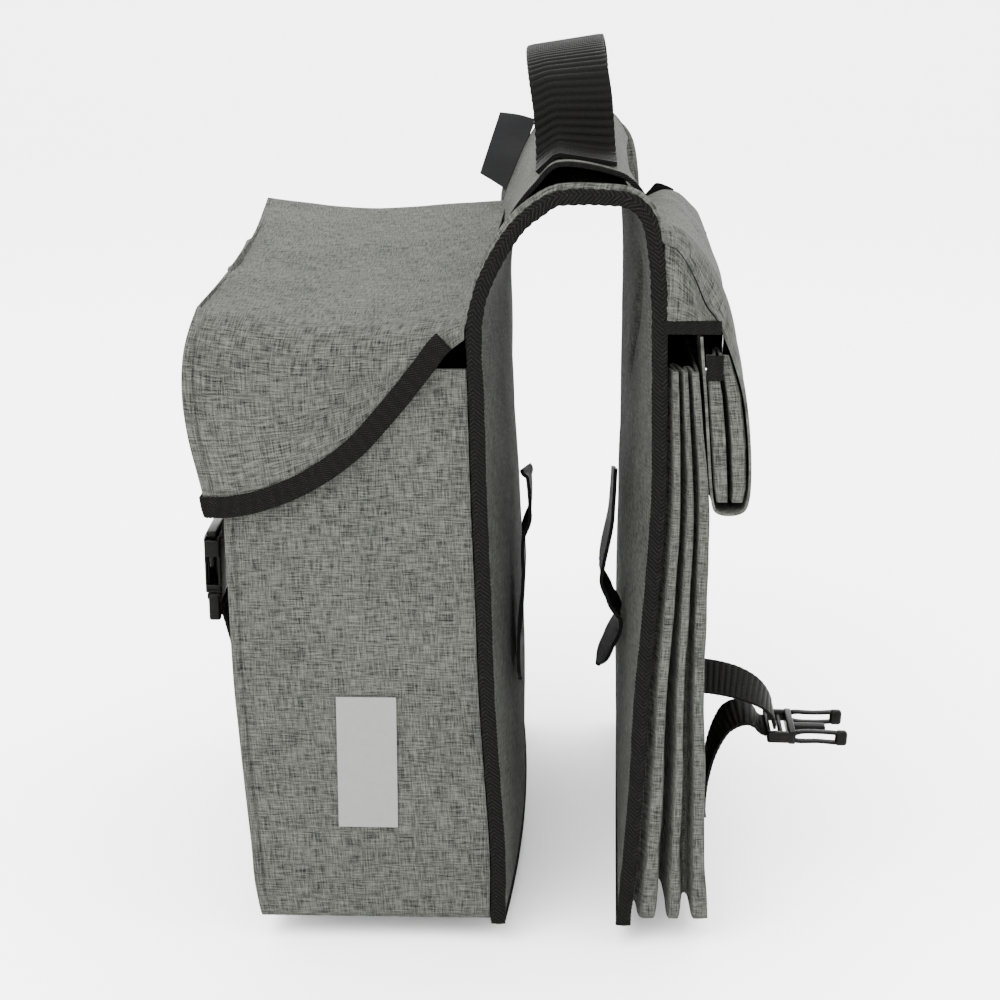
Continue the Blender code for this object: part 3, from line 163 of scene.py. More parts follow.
CURVE_SLACK = 0.0008
ARCH_LEAN = 0.17
CORNER_DROP = 0.012
SWELL_START = 0.1565
ARCH_SWELL = 0.0060
UPPER_START = 7
UPPER_END = 15
LEFT = -1
RIGHT = 1
ENDS = (("near", -1), ("far", 1))

# Inner faces of the back panels: height share of the shoulder, then X as shares of the half gap
Side = namedtuple("Side", "height left_near left_mid left_far right_near right_mid right_far")
SIDES = (
    Side(0.00, 0.74, 0.54, 0.66, 0.65, 0.74, 0.84),
    Side(0.12, 0.74, 0.55, 0.66, 0.72, 0.72, 0.84),
    Side(0.25, 0.80, 0.56, 0.67, 0.78, 0.70, 0.83),
    Side(0.40, 0.87, 0.59, 0.70, 0.82, 0.70, 0.84),
    Side(0.57, 0.91, 0.65, 0.78, 0.91, 0.70, 0.86),
    Side(0.73, 0.955, 0.70, 0.84, 0.97, 0.71, 0.90),
    Side(0.89, 0.985, 0.74, 0.86, 0.955, 0.72, 0.88),
    Side(1.00, 1.01, 0.75, 0.86, 0.935, 0.72, 0.85),
)
Arch = namedtuple("Arch", "across rise")
ARCH = (
    Arch(0.040, 0.29), Arch(0.125, 0.55), Arch(0.237, 0.784), Arch(0.350, 0.920),
    Arch(0.460, 1.000), Arch(0.780, 1.000), Arch(0.865, 0.965), Arch(0.930, 0.860),
    Arch(0.972, 0.600), Arch(0.992, 0.300),
)
Lift = namedtuple("Lift", "place share")
LIFTS = (
    Lift(0.00, 0.00), Lift(0.28, 0.03), Lift(0.50, 0.52), Lift(0.66, 1.00), Lift(0.78, 0.86),
    Lift(0.90, 0.40), Lift(1.00, 0.14),
)
Loop = namedtuple("Loop", "along rise sideways tilt")
HANDLE_LOOP = (
    Loop(0.000, 0.00, 1.00, 14.0), Loop(0.105, 0.00, 1.00, 14.0), Loop(0.150, 0.07, 0.95, 14.0),
    Loop(0.172, 0.25, 0.70, 14.0), Loop(0.190, 0.50, 0.20, 13.0), Loop(0.235, 0.78, -0.60, 11.0),
    Loop(0.330, 0.95, -1.10, 9.5), Loop(0.480, 1.00, -1.20, 9.0), Loop(0.640, 0.97, -0.80, 9.0),
    Loop(0.800, 0.80, 0.00, 9.5), Loop(0.885, 0.55, 0.60, 10.0), Loop(0.912, 0.25, 1.00, 12.0),
    Loop(0.930, 0.07, 1.20, 13.0), Loop(1.000, 0.00, 1.20, 14.0),
)
Depth = namedtuple("Depth", "height share")
FULL_DEPTHS = (Depth(0.0, 0.975), Depth(0.1, 1.005), Depth(0.5, 1.007), Depth(1.0, 0.985))
LID_DEPTHS = (
    Depth(0.0, 0.945), Depth(0.24, 0.973), Depth(0.445, 0.995), Depth(0.645, 1.003),
    Depth(0.808, 0.993), Depth(0.96, 0.967), Depth(1.0, 0.960),
)
FLAT_DEPTHS = (
    Depth(0.0, 1.760), Depth(0.06, 1.660), Depth(0.15, 1.505), Depth(0.32, 1.345),
    Depth(0.60, 1.070), Depth(0.76, 0.950), Depth(0.84, 0.870), Depth(0.91, 0.790), Depth(1.0, 0.700),
)
LidEdge = namedtuple("LidEdge", "out rise")
LID_EDGES = (
    LidEdge(0.000, 0.900), LidEdge(0.061, 0.836), LidEdge(0.117, 0.735), LidEdge(0.230, 0.544),
    LidEdge(0.383, 0.325), LidEdge(0.575, 0.150), LidEdge(0.767, 0.045), LidEdge(0.913, 0.004),
    LidEdge(1.000, 0.000),
)
LidTop = namedtuple("LidTop", "out dip")
LID_TOPS = (
    LidTop(0.00, -0.02), LidTop(0.30, 0.16), LidTop(0.60, 0.20), LidTop(0.85, 0.06),
    LidTop(1.00, -0.06),
)
Pleat = namedtuple("Pleat", "out inset")
FLAT_PLEATS = (
    Pleat(0.000, 0.50), Pleat(0.060, 0.48), Pleat(0.120, 0.03), Pleat(0.220, 0.00),
    Pleat(0.300, 0.05), Pleat(0.350, 0.88), Pleat(0.430, 0.88), Pleat(0.480, 0.05),
    Pleat(0.550, 0.00), Pleat(0.620, 0.06), Pleat(0.670, 0.62), Pleat(0.745, 0.62),
    Pleat(0.795, 0.06), Pleat(0.880, 0.00), Pleat(1.000, 0.02),
)
Flap = namedtuple("Flap", "near_x near_z crest_x crest_z far_x far_z")
FLAP_SECTION = (
    Flap(-0.060, 0.980, -0.080, 1.012, 0.040, 0.782),
    Flap(0.030, 0.966, -0.060, 1.010, 0.060, 0.787),
    Flap(0.151, 0.945, 0.150, 1.005, 0.260, 0.825),
    Flap(0.275, 0.885, 0.280, 0.975, 0.400, 0.838),
    Flap(0.370, 0.820, 0.400, 0.930, 0.560, 0.826),
    Flap(0.457, 0.750, 0.540, 0.860, 0.700, 0.785),
    Flap(0.570, 0.700, 0.660, 0.770, 0.830, 0.735),
    Flap(0.625, 0.655, 0.720, 0.690, 1.050, 0.545),
    Flap(0.743, 0.557, 0.800, 0.570, 1.138, 0.433),
    Flap(0.855, 0.433, 0.885, 0.433, 1.200, 0.320),
    Flap(0.923, 0.265, 0.940, 0.265, 1.238, 0.200),
    Flap(0.942, 0.095, 0.952, 0.095, 1.235, 0.085),
    Flap(0.900, 0.020, 0.910, 0.020, 1.180, 0.020),
    Flap(0.800, 0.000, 0.810, 0.000, 1.060, 0.000),
    Flap(0.640, 0.000, 0.650, 0.000, 0.840, 0.000),
    Flap(0.560, 0.020, 0.570, 0.020, 0.730, 0.020),
    Flap(0.517, 0.105, 0.527, 0.105, 0.650, 0.105),
    Flap(0.478, 0.265, 0.488, 0.265, 0.590, 0.265),
    Flap(0.440, 0.420, 0.450, 0.420, 0.550, 0.420),
    Flap(0.408, 0.530, 0.418, 0.530, 0.530, 0.530),
    Flap(0.392, 0.590, 0.402, 0.590, 0.515, 0.590),
    Flap(0.378, 0.640, 0.388, 0.640, 0.500, 0.640),
)
Rise = namedtuple("Rise", "way share")
FLAP_RISES = (Rise(0.0, 0.0), Rise(0.4, 0.65), Rise(1.0, 1.0))
FLAP_OUTER = slice(6, 13)
FLAP_INNER = slice(15, 22)
GUSSET_PLEATS = (
    Pleat(0.00, 0.08), Pleat(0.06, 0.00), Pleat(0.34, 0.00), Pleat(0.42, 0.06),
    Pleat(0.50, 0.95), Pleat(0.58, 0.06), Pleat(0.66, 0.00), Pleat(0.94, 0.00), Pleat(1.00, 0.08),
)
GUSSET_LOW = 0.045
GUSSET_HIGH = 0.575
END_START = 0.005
NEAR_WIDEST = 0.590
PLEAT_TAPE_END = 0.62
Strap = namedtuple("Strap", "out height tilt")
LOOSE_STRAP = (
    Strap(0.010, 1.510, 31.0), Strap(0.050, 1.509, 31.0), Strap(0.170, 1.490, 30.0),
    Strap(0.280, 1.460, 28.0), Strap(0.380, 1.415, 24.0), Strap(0.458, 1.360, 18.0),
    Strap(0.515, 1.290, 11.0), Strap(0.537, 1.225, 5.0), Strap(0.538, 1.172, 4.0),
)
LOOSE_TAIL = (
    Strap(0.486, 1.135, 4.0), Strap(0.440, 1.156, 4.0), Strap(0.400, 1.205, 8.0), Strap(0.345, 1.235, 12.0),
    Strap(0.265, 1.225, 18.0), Strap(0.195, 1.165, 22.0), Strap(0.125, 1.010, 22.0),
    Strap(0.085, 0.830, 18.0), Strap(0.070, 0.680, 12.0), Strap(0.068, 0.560, 8.0),
    Strap(0.076, 0.490, 6.0),
)
WEBBING_BEND = Strap(0.60, 0.45, 0.0)
Curl = namedtuple("Curl", "off height")
LEFT_CURL = (
    Curl(0.050, 1.000), Curl(0.066, 0.960), Curl(0.066, 0.800), Curl(0.035, 0.690),
    Curl(0.030, 0.520), Curl(0.018, 0.380), Curl(0.000, 0.220), Curl(0.000, 0.000),
)
RIGHT_CURL = (
    Curl(0.030, 1.000), Curl(0.036, 0.880), Curl(0.045, 0.770), Curl(0.085, 0.520),
    Curl(0.045, 0.410), Curl(0.000, 0.310), Curl(0.045, 0.190), Curl(0.100, 0.070),
)
Tab = namedtuple("Tab", "low_x low_z high_x high_z")
BAND_END = (
    Tab(-0.862, 0.392, -0.455, 1.100), Tab(-1.052, 0.480, -0.712, 1.150), Tab(-1.246, 0.563, -0.963, 1.172),
)
BOUND_CORNER = (
    Tab(0.119, 0.7985, 0.119, 0.815), Tab(0.200, 0.8145, 0.205, 0.845), Tab(0.274, 0.8305, 0.280, 0.872),
    Tab(0.400, 0.8385, 0.405, 0.862), Tab(0.504, 0.8325, 0.506, 0.846),
)

# Camera, as fitted to the photo: offset from the arch's middle, then turn in degrees
CAMERA_PLACE = Vector((-0.008, -1.243, 0.585))
CAMERA_PITCH = 16.95
CAMERA_YAW = 1.56
CAMERA_LENS = 74.05
CAMERA_SENSOR = 36.0


def colour(name, description, default):
    return bpy.props.FloatVectorProperty(
        name=name, description=description, subtype="COLOR", size=3, default=default, min=0.0, max=1.0)


def spacing(name, description, default, low=0.001, high=0.02):
    return bpy.props.FloatProperty(
        name=name, description=description, subtype="DISTANCE", unit="LENGTH", default=default,
        min=low, max=high)


class PannierColours(bpy.types.PropertyGroup):
    """Colours of the pannier's materials, as linear values."""

    cloth_dark: colour(
        "Cloth, dark yarn", "Colour of the dark yarn of the melange cloth", (0.0016, 0.0018, 0.0015))
    cloth_light: colour(
        "Cloth, light yarn", "Colour of the light yarn of the melange cloth", (0.058, 0.060, 0.0525))
    tape: colour("Binding tape", "Colour of the woven binding tape", (0.0022, 0.0022, 0.0019))
    webbing: colour("Webbing", "Colour of the handle and the straps", (0.0012, 0.0012, 0.0010))
    plastic: colour("Buckles", "Colour of the moulded buckles", (0.0009, 0.0008, 0.0007))
    band: colour("Band", "Colour of the flat band's end", (0.0080, 0.0081, 0.0084))
    reflective: colour("Reflective patch", "Colour of the reflective patch", (0.084, 0.084, 0.082))
    floor: colour("Floor", "Colour of the floor and backdrop", (0.97, 0.97, 0.97))


class PannierRelief(bpy.types.PropertyGroup):
    """Depths and spacings of the cloth's folds and of the webbing's ribs."""

    ripple: spacing("Cloth unevenness", "Height of the soft unevenness of the cloth", 0.0011, 0.0, 0.01)
    handle_rib: spacing("Handle rib spacing", "Distance from rib to rib of the handle's webbing", 0.0045)
    strap_rib: spacing("Strap rib spacing", "Distance from rib to rib of the straps", 0.0036)
    twill: spacing("Binding chevron spacing", "Distance from chevron to chevron of the binding", 0.0026)
    light: bpy.props.FloatProperty(
        name="Light", description="Strength of the studio's overall light",
        default=5.0, min=0.0, max=10.0)


# Curves and surfaces

def mix(start, end, share):
    return start + (end - start) * share


def clamp(value):
    return min(max(value, 0.0), 1.0)


def smooth(share):
    """Share eased at both of its ends."""
    share = clamp(share)
    return share * share * (3 - 2 * share)


def stations(start, end, count):
    return [mix(start, end, k / (count - 1)) for k in range(count)]


def table_value(rows, column, at):
    """Value of a table's column at a place between its rows, on a smooth curve."""
    keys = [row[0] for row in rows]
    values = [getattr(row, column) for row in rows]
    if at <= keys[0]:
        return values[0]
    if at >= keys[-1]:
        return values[-1]
    slot = max(k for k in range(len(keys) - 1) if keys[k] <= at)

    def slope(k):
        low, high = max(k - 1, 0), min(k + 1, len(keys) - 1)
        return (values[high] - values[low]) / (keys[high] - keys[low])

    span = keys[slot + 1] - keys[slot]
    t = (at - keys[slot]) / span
    start, end = slope(slot) * span, slope(slot + 1) * span
    rise = values[slot + 1] - values[slot]
    return values[slot] + t * (start + t * (3 * rise - 2 * start - end + t * (start + end - 2 * rise)))


def along_bag(y):
    """Share of the way from the near end to the far end."""
    return clamp(y / BAG_LENGTH + 0.5)


def running_lengths(points):
    """Length of the way from the first point to each of them."""
    found = [0.0]
    for before, after in zip(points, points[1:]):
        found.append(found[-1] + (after - before).length)
    return found


def heading(path, k):
    """Direction of a path at one of its points."""
    return (path[min(k + 1, len(path) - 1)] - path[max(k - 1, 0)]).normalized()


def smooth_path(points, count, steps=8):
    """Points spread evenly along a smooth curve through the given points."""
    lengths = [0.0]
    for before, after in zip(points, points[1:]):
        lengths.append(lengths[-1] + max((after - before).length, 1e-6))

    def slope(k):
        low, high = max(k - 1, 0), min(k + 1, len(points) - 1)
        return (points[high] - points[low]) / (lengths[high] - lengths[low])

    slopes = [slope(k) for k in range(len(points))]
    dense = [points[0]]
    for k in range(len(points) - 1):
        span = lengths[k + 1] - lengths[k]
        start, end, rise = slopes[k] * span, slopes[k + 1] * span, points[k + 1] - points[k]
        for step in range(1, steps + 1):
            t = step / steps
            bend = (3 * rise - 2 * start - end + (start + end - 2 * rise) * t) * t
            dense.append(points[k] + (start + bend) * t)
    run = running_lengths(dense)
    found, slot = [], 0
    for k in range(count):
        at = run[-1] * k / (count - 1)
        while slot < len(run) - 2 and run[slot + 1] < at:
            slot += 1
        span = max(run[slot + 1] - run[slot], 1e-9)
        found.append(dense[slot].lerp(dense[slot + 1], min((at - run[slot]) / span, 1.0)))
    return found


def offset_row(row, distance):
    """Points of a section, each moved to its left by a distance."""
    moved = []
    for k, point in enumerate(row):
        before, after = row[max(k - 1, 0)], row[min(k + 1, len(row) - 1)]
        ahead = (after - point).normalized() if after != point else Vector()
        behind = (point - before).normalized() if before != point else Vector()
        along = (ahead + behind).normalized()
        normal = Vector((0, -1, 0)).cross(along)
        reference = ahead if ahead.length > 0.0 else behind
        moved.append(point + normal * distance / max(along.dot(reference), 0.7))
    return moved


def panel_x(side, y, z):
    """X of a back panel's inner face."""
    word = "left" if side == LEFT else "right"
    height = clamp(z / SHOULDER_HEIGHT)
    near, mid, far = (table_value(SIDES, word + "_" + place, height) for place in ("near", "mid", "far"))
    t = along_bag(y)
    return side * HALF_GAP * (near * (1 - t) * (1 - 2 * t) + 4 * mid * t * (1 - t) + far * t * (2 * t - 1))


def saddle_row(y, foot=0.0):
    """Underside of the saddle panel in section, from the left foot over to the right foot."""
    heights = [foot] + [row.height * SHOULDER_HEIGHT for row in SIDES[1:]]
    left = [Vector((panel_x(LEFT, y, z), y, z)) for z in heights]
    right = [Vector((panel_x(RIGHT, y, z), y, z)) for z in reversed(heights)]
    start, end = left[-1], right[0]
    rise = BRIDGE_HEIGHT - SHOULDER_HEIGHT
    bridge = [
        Vector((mix(start.x, end.x, row.across), y, SHOULDER_HEIGHT + row.rise * rise)) for row in ARCH
    ]
    return left + bridge + right


def outside_x(side, y, z, depth):
    """X of a bag's outside, a depth beyond the straight line between the back panel's two ends."""
    near, far = panel_x(side, -HALF_LENGTH, z), panel_x(side, HALF_LENGTH, z)
    if side == LEFT:
        far -= FAR_SPREAD
    along = along_bag(y)
    return mix(near, far, along) + side * (PANEL_THICKNESS + depth)


def bag_edge_x(side, y, z):
    """X of a bag's or lid's edge where it meets the back panel."""
    reach = (abs(y) - (HALF_LENGTH - TAPE_APPROACH)) / (TAPE_APPROACH - BINDING_THICKNESS - FIT_GAP)
    proud = (BINDING_WIDTH - BINDING_INNER - PANEL_THICKNESS) * smooth(reach)
    lean = ARCH_LEAN * max(z - SHOULDER_HEIGHT, 0.0)
    return panel_x(side, y, z) + side * (PANEL_THICKNESS + CURVE_SLACK + proud - lean)


def upper_row(y):
    """Lower face of the bridge's upper layer in section."""
    base = offset_row(saddle_row(y), PANEL_THICKNESS)[UPPER_START:UPPER_END + 1]
    lengths = running_lengths(base)
    lifted = []
    for point, length in zip(base, lengths):
        lift = max(table_value(LIFTS, "share", length / lengths[-1]), 0.0) * BRIDGE_HOLLOW
        lifted.append(point + Vector((0.0, 0.0, lift)))
    return offset_row(lifted, CURVE_SLACK)


def height_on(row, x):
    """Height of a section at an X, or nothing beyond its ends."""
    for before, after in zip(row, row[1:]):
        if before.x <= x <= after.x:
            return mix(before.z, after.z, (x - before.x) / (after.x - before.x))
    return None


# Offset sections already worked out, by their place
SECTION_ROWS = {}


def upper_top(x, y, clear):
    """Height of a surface that lies clear of the upper layer's top face."""
    key = (round(y, 4), round(clear, 5))
    if key not in SECTION_ROWS:
        SECTION_ROWS[key] = offset_row(upper_row(y), CLOTH_THICKNESS + clear)
    found = height_on(SECTION_ROWS[key], x)
    return SECTION_ROWS[key][-1].z if found is None else found


def full_outer_x(y, z):
    """Outer face of the full bag, before its bulge."""
    return outside_x(LEFT, y, z, FULL_DEPTH * table_value(FULL_DEPTHS, "share", z / MOUTH_HEIGHT))


def flat_outer_x(y, z):
    """Outer face of the folded bag."""
    return outside_x(RIGHT, y, z, FLAT_DEPTH * table_value(FLAT_DEPTHS, "share", z / MOUTH_HEIGHT))


def lid_top(share, y):
    """Height of the full bag's lid at a share of the way out."""
    along = along_bag(y)
    return mix(LID_TOP_NEAR, LID_TOP_FAR, along * along) - LID_CORNER * table_value(LID_TOPS, "dip", share)


def lid_point(share, y, z):
    """Outer surface of the full bag's lid at a share of the way out."""
    height = (z - LID_SKIRT) / (LID_TOP_NEAR - LID_SKIRT)
    depth = LID_DEPTH * table_value(LID_DEPTHS, "share", height)
    return Vector((mix(bag_edge_x(LEFT, y, z), outside_x(LEFT, y, z, depth), share), y, z))


def lid_edge(share):
    """Height of that lid's lower edge at a share of the way out."""
    return LID_SKIRT + (LID_TOP_NEAR - LID_SKIRT) * table_value(LID_EDGES, "rise", share)


def flap_place(x_share, z_share, y):
    """Point of the flat bag's lid from its shares in section."""
    on_panel = panel_x(RIGHT, y, SHOULDER_HEIGHT) + PANEL_THICKNESS
    near_top = clamp((z_share - FLAP_FREE) / (1.0 - FLAP_FREE))
    base = mix(outside_x(RIGHT, y, SHOULDER_HEIGHT, 0.0), on_panel, near_top) + FIT_GAP
    return Vector((base + x_share * FLAP_REACH, y, FLAP_BOTTOM + z_share * FLAP_DROP))


def flap_row(y, share, part):
    """Outside of the flat bag's lid in section, from its root round to its turned-up edge."""
    crest, far_bend = -HALF_LENGTH + FLAP_CREST, HALF_LENGTH - FLAP_CREST
    row = []
    for flap in FLAP_SECTION:
        if part == "near":
            x, z = mix(flap.near_x, flap.crest_x, share), mix(flap.near_z, flap.crest_z, share)
        elif part == "body":
            along = (y - crest) / (far_bend - crest)
            x, z = mix(flap.crest_x, flap.far_x, along), mix(flap.crest_z, flap.far_z, along)
        else:
            x, z = flap.far_x, flap.far_z - share * FLAP_DROOP * max(flap.far_z - FLAP_MIDDLE, 0.0)
        row.append(flap_place(x, z, y))
    return row


def flap_branch(branch, part, height):
    """X share of one branch of the flap's section at a height share."""
    rows = [(getattr(row, part + "_z"), getattr(row, part + "_x")) for row in FLAP_SECTION[branch]]
    rows.sort()
    for (low, start), (high, end) in zip(rows, rows[1:]):
        if low <= height <= high:
            return mix(start, end, (height - low) / (high - low))
    return rows[0][1] if height < rows[0][0] else rows[-1][1]


def under_lid(part, x):
    """Height just below the lid's sheet at one of its ends."""
    y = -HALF_LENGTH if part == "near" else HALF_LENGTH
    share = 0.0 if part == "near" else 1.0
    key = ("under", part)
    if key not in SECTION_ROWS:
        sheet = smooth_path(flap_row(y, share, part), 150)
        SECTION_ROWS[key] = offset_row(sheet, -FOLDED_CLOTH_THICKNESS - END_GAP)
    row = SECTION_ROWS[key]
    found = height_on(row, x)
    if found is None:
        return row[0].z if x < row[0].x else row[-1].z
    return found


def frame_shift():
    """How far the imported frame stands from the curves' own X = 0."""
    row = offset_row(saddle_row(-HALF_LENGTH + BINDING_THICKNESS - FIT_GAP), BINDING_WIDTH - BINDING_INNER)
    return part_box("near_binding")[0].x - min(point.x for point in row)


SHIFT = Vector((frame_shift(), 0.0, 0.0))


# Mesh tools

def select_only(piece):
    bpy.ops.object.select_all(action="DESELECT")
    piece.select_set(True)
    bpy.context.view_layer.objects.active = piece


def apply_all(piece):
    select_only(piece)
    for step in list(piece.modifiers):
        bpy.ops.object.modifier_apply(modifier=step.name)


def cloth_grid(name, rows):
    """Grid laid through rows of points, with its UV map in metres."""
    along, across = len(rows[0]) - 1, len(rows) - 1
    bpy.ops.object.select_all(action="DESELECT")
    bpy.ops.mesh.primitive_grid_add(x_subdivisions=along, y_subdivisions=across, size=2.0)
    piece = bpy.context.object
    piece.name = name
    mesh = piece.data
    mesh.name = name
    u_lengths = running_lengths(rows[len(rows) // 2])
    v_lengths = running_lengths([row[len(row) // 2] for row in rows])
    places = []
    for vertex in mesh.vertices:
        i = round((vertex.co.x + 1.0) / 2.0 * along)
        j = round((vertex.co.y + 1.0) / 2.0 * across)
        places.append((i, j))
        vertex.co = rows[j][i] + SHIFT
    chart = mesh.uv_layers.active.data
    for loop in mesh.loops:
        i, j = places[loop.vertex_index]
        chart[loop.index].uv = (u_lengths[i], v_lengths[j])
    return piece


def face_out(piece, outward):
    """Turns an open sheet so that its faces look along a direction or away from a point."""
    mesh = piece.data
    total = 0.0
    for face in mesh.polygons:
        way = outward if isinstance(outward, Vector) else outward(face.center)
        total += face.normal.dot(way) * face.area
    if total < 0.0:
        mesh.flip_normals()


def press(piece, field):
    """Moves each point along its normal by what the field says there."""
    mesh = piece.data
    normals = [vertex.normal.copy() for vertex in mesh.vertices]
    moved = [vertex.co + normal * field(vertex.co - SHIFT) for vertex, normal in zip(mesh.vertices, normals)]
    for vertex, place in zip(mesh.vertices, moved):
        vertex.co = place
    mesh.update()


def thicken(piece, thickness, offset=-1.0):
    """Gives a sheet its wall: inside it at -1, outside it at 1, on both sides at 0."""
    wall = piece.modifiers.new("wall", "SOLIDIFY")
    wall.thickness = thickness
    wall.offset = offset
    wall.use_even_offset = False
    wall.use_quality_normals = True
    apply_all(piece)
    return piece


def smooth_shade(piece, degrees=40.0):
    select_only(piece)
    bpy.ops.object.shade_smooth_by_angle(angle=math.radians(degrees))


def join(name, pieces):
    bpy.ops.object.select_all(action="DESELECT")
    for piece in pieces:
        piece.select_set(True)
    bpy.context.view_layer.objects.active = pieces[0]
    if len(pieces) > 1:
        bpy.ops.object.join()
    whole = bpy.context.object
    whole.name = name
    whole.data.name = name
    return whole


def weld(piece, distance):
    select_only(piece)
    bpy.ops.object.mode_set(mode="EDIT")
    bpy.ops.mesh.select_all(action="SELECT")
    bpy.ops.mesh.remove_doubles(threshold=distance)
    bpy.ops.object.mode_set(mode="OBJECT")


def ripple(place, size, seed=0.0):
    """Soft unevenness, from -1 to 1."""
    return noise.noise(Vector((place.x / size + seed, place.y / size, place.z / size)))


Crease = namedtuple("Crease", "start end width depth")


def crease_field(creases):
    """Field of long folds: each runs from a start to an end and dips by its depth."""
    lines = [(Vector(c.start), Vector(c.end) - Vector(c.start), c.width, c.depth) for c in creases]

    def field(place):
        total = 0.0
        for start, run, width, depth in lines:
            along = (place - start).dot(run) / run.length_squared
            if -0.1 < along < 1.1:
                away = (place - start - run * along).length
                if away < 3 * width:
                    ends = smooth(min(along, 1.0 - along) * 5.0 + 0.1)
                    total -= depth * ends * math.exp(-(away / width) ** 2)
        return total
    return field


def finish_piece(piece, material, node, degrees=40.0):
    """Gives a piece its material and its body, and hides the frame's solid that it stands for."""
    piece.data.materials.clear()
    piece.data.materials.append(materials()[material])
    smooth_shade(piece, degrees)
    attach(piece, "root")
    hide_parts(node)


def finish_cloth(piece, field, thickness, node, degrees=50.0):
    """Presses a cloth's folds into its sheet, gives it its wall inside and finishes it."""
    press(piece, field)
    thicken(piece, thickness)
    finish_piece(piece, "cloth_outside", node, degrees)


# Swept pieces

def webbing(name, rows, thickness, rib, depth, material, node):
    """Ribbed strap: a grid along the strap whose ribs run across it."""
    piece = cloth_grid(name, rows)
    mesh = piece.data
    lengths = running_lengths([row[len(row) // 2] for row in rows])
    total = lengths[-1]
    chart = mesh.uv_layers.active.data
    along = [0.0] * len(mesh.vertices)
    side = [0.0] * len(mesh.vertices)
    widest = max(chart[loop.index].uv[0] for loop in mesh.loops)
    for loop in mesh.loops:
        along[loop.vertex_index] = chart[loop.index].uv[1]
        side[loop.vertex_index] = chart[loop.index].uv[0] / widest
    normals = [vertex.normal.copy() for vertex in mesh.vertices]
    for k, vertex in enumerate(mesh.vertices):
        ends = smooth(min(along[k], total - along[k]) / (2 * rib))
        middle = smooth(min(side[k], 1 - side[k]) * 12.0)
        wave = math.sin(2 * math.pi * along[k] / rib)
        crest = math.copysign(abs(wave) ** 0.6, wave)
        vertex.co += normals[k] * depth * ends * (0.25 + 0.75 * middle) * crest
    mesh.update()
    thicken(piece, thickness, 0.0)
    finish_piece(piece, material, node, 60.0)


def tube(name, path, normals, binormals, profile, relief=None):
    """Closed sweep of a profile of (normal, binormal) points, with relief along the surface."""
    count = len(profile)
    centre = Vector((sum(p[0] for p in profile) / count, sum(p[1] for p in profile) / count))
    lengths = running_lengths(path)
    closed = list(profile) + [profile[0]]
    rows = []
    for k, (place, normal, binormal) in enumerate(zip(path, normals, binormals)):
        row = []
        for j in range(count + 1):
            n, b = closed[j]
            if relief:
                out = Vector((n, b)) - centre
                if out.length > 0:
                    n, b = Vector((n, b)) + out.normalized() * relief(lengths[k], n, b)
            row.append(place + normal * n + binormal * b)
        rows.append(row)
    piece = cloth_grid(name, rows)
    weld(piece, 1e-6)
    shape = bmesh.new()
    shape.from_mesh(piece.data)
    bmesh.ops.holes_fill(shape, edges=[edge for edge in shape.edges if edge.is_boundary], sides=0)
    bmesh.ops.recalc_face_normals(shape, faces=shape.faces)
    shape.to_mesh(piece.data)
    shape.free()
    return piece


def end_axes(path, sign):
    """Normals and binormals of a sweep that runs in the plane of one end."""
    normals = [Vector((0, -1, 0)).cross(heading(path, k)) for k in range(len(path))]
    return normals, [Vector((0, sign, 0))] * len(path)


PROFILE_SPLITS = 6


def rounded_profile(low, high, back, front, radius, steps, crown=0.0):
    """Rounded rectangle in (normal, binormal) from low to high and from back to front."""
    corners = (
        (high - radius, front - radius), (low + radius, front - radius),
        (low + radius, back + radius), (high - radius, back + radius),
    )
    points = []
    for quarter, (corner_n, corner_b) in enumerate(corners):
        for k in range(steps + 1):
            angle = math.radians(90.0 * quarter + 90.0 * k / steps)
            points.append((corner_n + radius * math.cos(angle), corner_b + radius * math.sin(angle)))
    found = []
    for k, point in enumerate(points):
        after = points[(k + 1) % len(points)]
        found.append(point)
        if math.dist(point, after) > (high - low) * 0.4:
            for j in range(1, PROFILE_SPLITS):
                share = j / PROFILE_SPLITS
                bulge = crown * math.sin(math.pi * share) * (1 if point[1] > (back + front) / 2 else -1)
                found.append((mix(point[0], after[0], share), mix(point[1], after[1], share) + bulge))
    return found


# Materials

def new_group(name, inputs, outputs):
    group = bpy.data.node_groups.new(name, "ShaderNodeTree")
    for label, kind, value in inputs:
        socket = group.interface.new_socket(name=label, in_out="INPUT", socket_type=kind)
        socket.default_value = value
    for label, kind in outputs:
        group.interface.new_socket(name=label, in_out="OUTPUT", socket_type=kind)
    entry = group.nodes.new("NodeGroupInput")
    leave = group.nodes.new("NodeGroupOutput")
    return group, entry, leave


def add_node(tree, kind, **settings):
    node = tree.nodes.new(kind)
    for key, value in settings.items():
        setattr(node, key, value)
    return node


def math_node(tree, operation, first, second=None):
    node = add_node(tree, "ShaderNodeMath", operation=operation)
    for slot, value in ((0, first), (1, second)):
        if value is None:
            continue
        if isinstance(value, (int, float)):
            node.inputs[slot].default_value = value
        else:
            tree.links.new(value, node.inputs[slot])
    return node.outputs[0]


def weighted_sum(tree, *terms):
    """Sum of outputs, each times its weight."""
    total = None
    for value, weight in terms:
        part = math_node(tree, "MULTIPLY", value, weight)
        total = part if total is None else math_node(tree, "ADD", total, part)
    return total


def blend_tones(tree, factor, first, second, target):
    """Mix of two tones, or of two outputs, into a target socket."""
    blend = add_node(tree, "ShaderNodeMix", data_type="RGBA")
    tree.links.new(factor, blend.inputs["Factor"])
    for name, value in (("A", first), ("B", second)):
        if isinstance(value, tuple):
            blend.inputs[name].default_value = value
        else:
            tree.links.new(value, blend.inputs[name])
    tree.links.new(blend.outputs["Result"], target)


